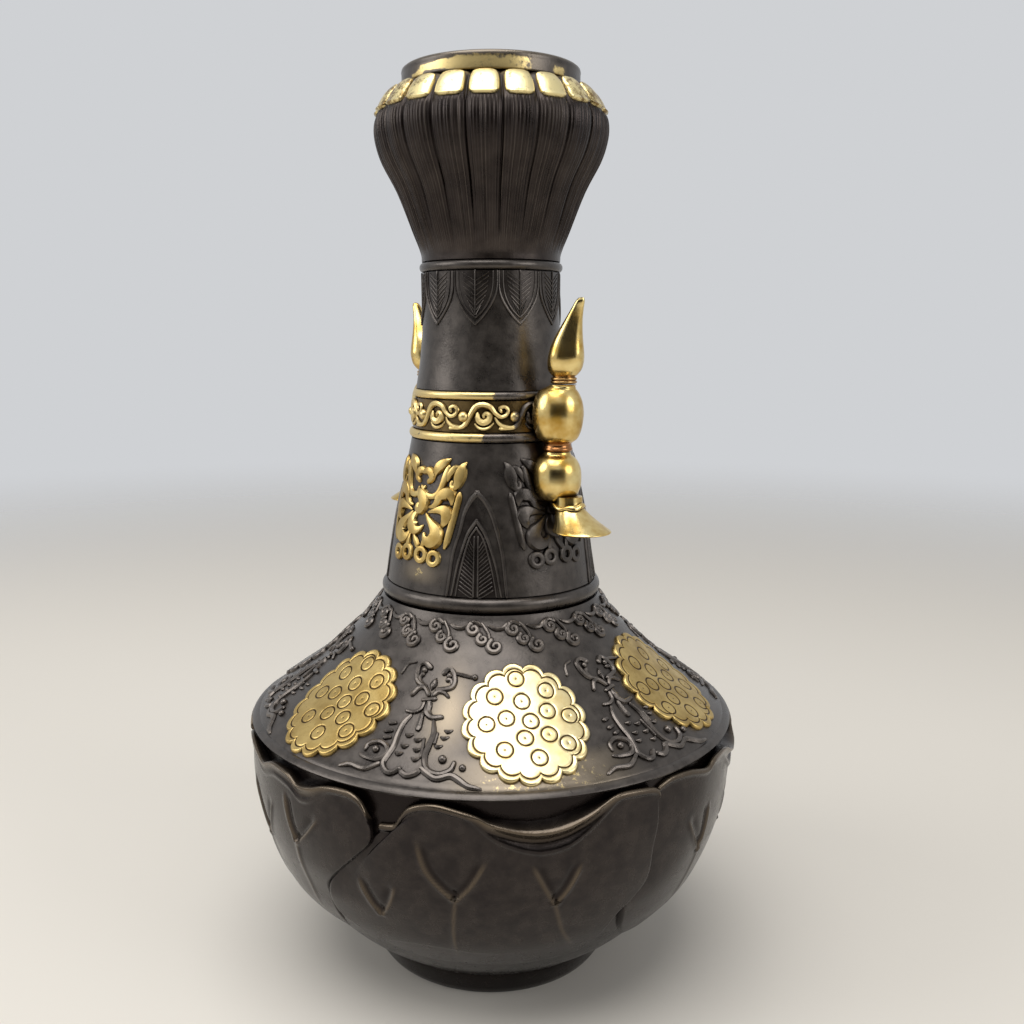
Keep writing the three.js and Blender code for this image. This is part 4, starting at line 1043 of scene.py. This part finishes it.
# Gilt petals round the collar, one on each lobe, with worn brown places
petal = {"half": 5.05, "low": 285.6, "high": 293.6, "thickness": 0.75, "lip": 0.35, "round": 0.7,
         "sunk": 0.6, "cells": 30, "bright": 52, "gilt": 0.64, "worn": 0.15}
petals = []
for k in range(head["flutes"]):
    middle = head["phase"] + (k + 0.5) * 360 / head["flutes"]

    def place(u, v):
        a, b = 2 * u - 1, 2 * v - 1
        half = petal["half"] * (0.35 + 0.65 * np.interp(v, [0, 1], [36.9, 31.5]) / 36.9)
        x = a * half * (1 - 0.26 * np.abs(b) ** 4)
        z = petal["low"] + (petal["high"] - petal["low"]) * (0.5 + 0.5 * b * (1 - 0.16 * np.abs(a) ** 4))
        r = radiusAt(headSkin, z)
        cut = lobes(middle + np.degrees(x / r), z)[0]
        inFromEdge = np.minimum((1 - np.abs(a)) * half, (1 - np.abs(b)) * 4.6)
        edge = np.clip(1 - inFromEdge / petal["round"], 0, 1)
        lift = petal["thickness"] + petal["lip"] * (1 - softStep(0.06, 0.2, v)) + cut
        lift = lift - (1 - np.sqrt(1 - edge ** 2)) * (petal["thickness"] + petal["lip"] + petal["sunk"])
        return onSkin(headSkin, middle, x, z, lift)

    petals.append(filled(grid(petal["cells"], petal["cells"], place)))
crownMesh = joined(*petals)
fromBright = np.abs((angles(places(crownMesh)) - petal["bright"] + 180) % 360 - 180)
mark(crownMesh, "gilt", petal["gilt"] - petal["worn"] * softStep(28, 55, fromBright))
finish(crownMesh, "petalCrown", giltBronze, "fire_gilding", "petal_crown")

# Collar, with worn gilt patches: angle, half-width in degrees, height, half-height
collarLow, collarTop = 294.3, spanOf("rim_collar")[1]
collar = {"patches": [(50, 24, 295.6, 2.9), (16, 15, 296.6, 1), (97, 5, 295.4, 1.6), (-2, 6, 294.6, 1)],
          "gilt": 0.66, "worn": 0.3, "segments": 240}
profile = [(23.8, 290), (26.1, 290), (26.1, collarLow), (28.6, collarLow),
           *[(28.8, z) for z in np.linspace(collarLow + 0.3, 298.2, 12)], (28.9, 298.8), (28.75, 299.5),
           (28.1, collarTop), (26.6, collarTop), (26, 299.4), (26, 295.5), (23.8, 293.5)]
collarMesh = spun(profile, collar["segments"])
around, z = angles(places(collarMesh)), places(collarMesh)[:, 2]
patches = np.minimum(sum(np.exp(-0.35 * (((around - a) / half) ** 4 + ((z - middle) / tall) ** 4))
                         for a, half, middle, tall in collar["patches"]), 1)
mark(collarMesh, "gilt", collar["gilt"] * patches)
mark(collarMesh, "worn", collar["worn"] * (patches + softStep(299, 299.8, z)))
finish(collarMesh, "rimCollar", bronze, "patinated_bronze", "rim_collar", sharp=50)
print("mouth done")

# Handles: each casting has the radius of its axis, its turned profile, its outward lean at heights, and
# the coppery braze that fades out between two heights
handle = {
    "flame_bud": {
        "axis": 35.7, "braze": (203, 204.2, 0.55),
        "profile": [(0, 201.3), (3.7, 201.3), (4.15, 201.7), (4.1, 202.1), (3.75, 202.35), (4.05, 202.6),
                    (4.0, 203.1), (3.5, 203.5), (4.3, 204.3), (5.4, 206), (5.95, 208.8), (5.65, 211.6),
                    (4.9, 214.7), (3.85, 218), (2.8, 221.3), (2.0, 224.3), (1.5, 226.4), (0.95, 227.4),
                    (0, 227.7)],
        "lean": [(201.3, 0), (203.5, 0.1), (208.8, 0.9), (214.7, 1.8), (221, 4.2), (227.7, 7.5)]},
    "upper_bead": {
        "axis": 33.2, "braze": (182.3, 183.6, 0.9),
        "profile": [(0, 180), (4.4, 180), (4.8, 180.7), (4.35, 181.7), (4.55, 182.6), (6.3, 184),
                    (7.5, 186.7), (8.1, 190.2), (8.15, 193), (7.6, 196), (6.4, 198.5), (5, 199.9),
                    (4.2, 200.6), (4.1, 201), (0, 201)],
        "lean": [(180, 0), (190, 0), (198.4, 0.1), (200, 1), (201, 2.4)]},
    "lower_bead": {
        "axis": 33, "braze": (160, 161, 0),
        "profile": [(0, 163.6), (3.4, 163.6), (5.9, 165.1), (7.5, 168.2), (7.85, 171.4), (7.5, 174.8),
                    (6.2, 177.4), (4.6, 178.8), (4.2, 179.7), (0, 179.7)],
        "lean": [(163.6, 0), (179.7, 0)]},
    "bell_foot": {
        "axis": 38.9, "braze": (150, 151, 0),
        "profile": [(0, 155.3), (8.9, 155.3), (9.2, 155.6), (8.9, 156.1), (7.9, 157.2), (6.7, 158.7),
                    (5.6, 160.4), (4.9, 161.6), (4.6, 162.2), (4.35, 164), (4.3, 166), (0, 166)],
        "lean": [(155.3, 6), (156.1, 5.6), (158, 3.9), (160.4, 1.6), (162.2, 0.4), (163, 0), (166, -0.3)]},
}
flameSides = 0.05  # the flame bud has four soft sides
leftBeadIn = 0.9  # the left upper bead stands nearer the neck
solder = {"radius": 4.7, "width": 0.75, "height": 163}


def solderRing():  # an uneven ring of solder round the bell's neck
    ring = [(solder["radius"] * math.cos(a), solder["radius"] * math.sin(a),
             solder["height"] + 0.35 * math.sin(2 * a + 1) + 0.2 * math.sin(5 * a),
             solder["width"] * (1 + 0.25 * math.sin(3 * a + 2) + 0.12 * math.sin(7 * a)))
            for a in np.linspace(0, 2 * math.pi, 61)]
    return tubes([np.array(ring)])


for side, sign in (("right", 1), ("left", -1)):
    for part, shape in handle.items():
        first, *middle, last = shape["profile"]
        casting = spun([first, *map(tuple, smoothLine(middle, 6)), last], 96, closed=False)
        spots = places(casting)
        if part == "flame_bud":
            turn = np.arctan2(spots[:, 1], spots[:, 0])
            spots[:, :2] *= (1 + flameSides * np.cos(4 * turn) * softStep(204.5, 210, spots[:, 2]))[:, None]
        if part == "bell_foot":
            casting = joined(casting, solderRing())
            spots = places(casting)
        bend = smoothLine(shape["lean"], 8)
        spots[:, 0] += shape["axis"] + np.interp(spots[:, 2], bend[:, 0], bend[:, 1])
        if side == "left" and part == "upper_bead":
            spots[:, 0] -= leftBeadIn
        low, high, strength = shape["braze"]
        mark(casting, "braze", strength * (1 - softStep(low, high, spots[:, 2])))
        spots[:, :2] *= sign
        moveTo(casting, spots)
        words = "".join(word.capitalize() for word in part.split("_"))
        finish(casting, f"handle{words}{side.capitalize()}", bright, "fire_gilding",
               f"handle_{part}_{side}", sharp=50)
print("handles done")

# Stage: a pale floor under soft studio light

stage = {"floorRadius": 3.0, "floor": "#d6d0c6", "fadeFrom": 0.45, "fadeTo": 1.5, "wall": "#cfd1d4",
         "fill": 0.45}


def stageMesh(name, bm):
    data = bpy.data.meshes.new(name)
    bm.to_mesh(data)
    bm.free()
    piece = bpy.data.objects.new(name, data)
    bpy.context.scene.collection.objects.link(piece)
    return piece


floorMesh = bmesh.new()
bmesh.ops.create_circle(floorMesh, cap_ends=True, segments=96, radius=stage["floorRadius"])
floor = stageMesh("floor", floorMesh)
# A matte pale floor that fades out with distance, so that no edge shows behind the vase
floorMaterial, tree, shader = newMaterial("paleFloor")
shader.inputs["Base Color"].default_value = linear(stage["floor"])
shader.inputs["Roughness"].default_value = 0.7
place = addNode(tree, "ShaderNodeTexCoord").outputs["Object"]
far = addNode(tree, "ShaderNodeVectorMath", {0: place}, operation="LENGTH")
shown = addNode(tree, "ShaderNodeMapRange", {"Value": far.outputs["Value"], "From Min": stage["fadeFrom"],
                                             "From Max": stage["fadeTo"], "To Min": 1.0, "To Max": 0.0},
                interpolation_type="SMOOTHSTEP")
tree.links.new(shown.outputs["Result"], shader.inputs["Alpha"])
floor.data.materials.append(floorMaterial)

# A dark curved card behind the camera, seen only in reflections: it gives the metal its dark middle
card = {"reach": 750, "from": 14, "to": 88, "low": 60, "high": 520, "colour": "#1d1a18"}


def cardPlace(u, v):
    turn = np.radians(card["from"] + (card["to"] - card["from"]) * u)
    return np.column_stack((card["reach"] * np.sin(turn), -card["reach"] * np.cos(turn),
                            card["low"] + (card["high"] - card["low"]) * v)) * mm


cardPiece = stageMesh("darkCard", grid(24, 2, cardPlace))
cardMaterial, tree, shader = newMaterial("darkCard")
shader.inputs["Base Color"].default_value = linear(card["colour"])
shader.inputs["Roughness"].default_value = 1.0
shader.inputs["Specular IOR Level"].default_value = 0.0
cardPiece.data.materials.append(cardMaterial)
cardPiece.visible_camera = False
cardPiece.visible_diffuse = False
cardPiece.visible_shadow = False
cardPiece.visible_transmission = False

lamps = {
    "overhead": {"place": (0.12, -0.3, 1.3), "size": 1.2, "power": 15},
    "left": {"place": (-0.6, -1.05, 0.75), "size": 0.8, "power": 6},
    "right": {"place": (1.3, 0.45, 0.7), "size": 0.8, "power": 6},
}
for name, lamp in lamps.items():
    light = bpy.data.lights.new(name, "AREA")
    light.shape = "DISK"
    light.size = lamp["size"]
    light.energy = lamp["power"]
    holder = bpy.data.objects.new(name, light)
    holder.location = lamp["place"]
    aim = Vector((0, 0, 0.15)) - holder.location
    holder.rotation_euler = aim.to_track_quat("-Z", "Y").to_euler()
    bpy.context.scene.collection.objects.link(holder)

# The backdrop is seen at full strength by the camera and in reflections, and lights the vase with less
world = bpy.data.worlds.new("studio")
bpy.context.scene.world = world
world.use_nodes = True
tree = world.node_tree
background = tree.nodes["Background"]
rays = addNode(tree, "ShaderNodeLightPath")
seen = addNode(tree, "ShaderNodeMath", {0: rays.outputs["Is Camera Ray"], 1: rays.outputs["Is Glossy Ray"]},
               operation="MAXIMUM")
direct = addNode(tree, "ShaderNodeMath", {0: seen.outputs["Value"], 1: rays.outputs["Is Transmission Ray"]},
                 operation="MAXIMUM")
strength = addNode(tree, "ShaderNodeMapRange", {"Value": direct.outputs["Value"],
                                                "To Min": stage["fill"], "To Max": 1.0})
background.inputs["Color"].default_value = linear(stage["wall"])
tree.links.new(strength.outputs["Result"], background.inputs["Strength"])

# The camera's place, solved from the ellipses of the rings; the vase's axis is left of the frame's middle
viewpoint = {"lens": 37.58, "framePixels": 1024, "axisLeftPixels": 21, "distance": 0.3636, "height": 0.2179,
             "turn": math.radians(50.5), "tilt": math.radians(9.68)}
camera = bpy.data.cameras.new("camera")
camera.lens = viewpoint["lens"]
camera.sensor_width = 36
camera.shift_x = viewpoint["axisLeftPixels"] / viewpoint["framePixels"]
camera.clip_start = 0.01
view = bpy.data.objects.new("camera", camera)
turn, distance = viewpoint["turn"], viewpoint["distance"]
view.location = (distance * math.sin(turn), -distance * math.cos(turn), viewpoint["height"])
view.rotation_euler = (math.pi / 2 - viewpoint["tilt"], 0, turn)
bpy.context.scene.collection.objects.link(view)
bpy.context.scene.camera = view
bpy.context.scene.view_settings.view_transform = "Standard"
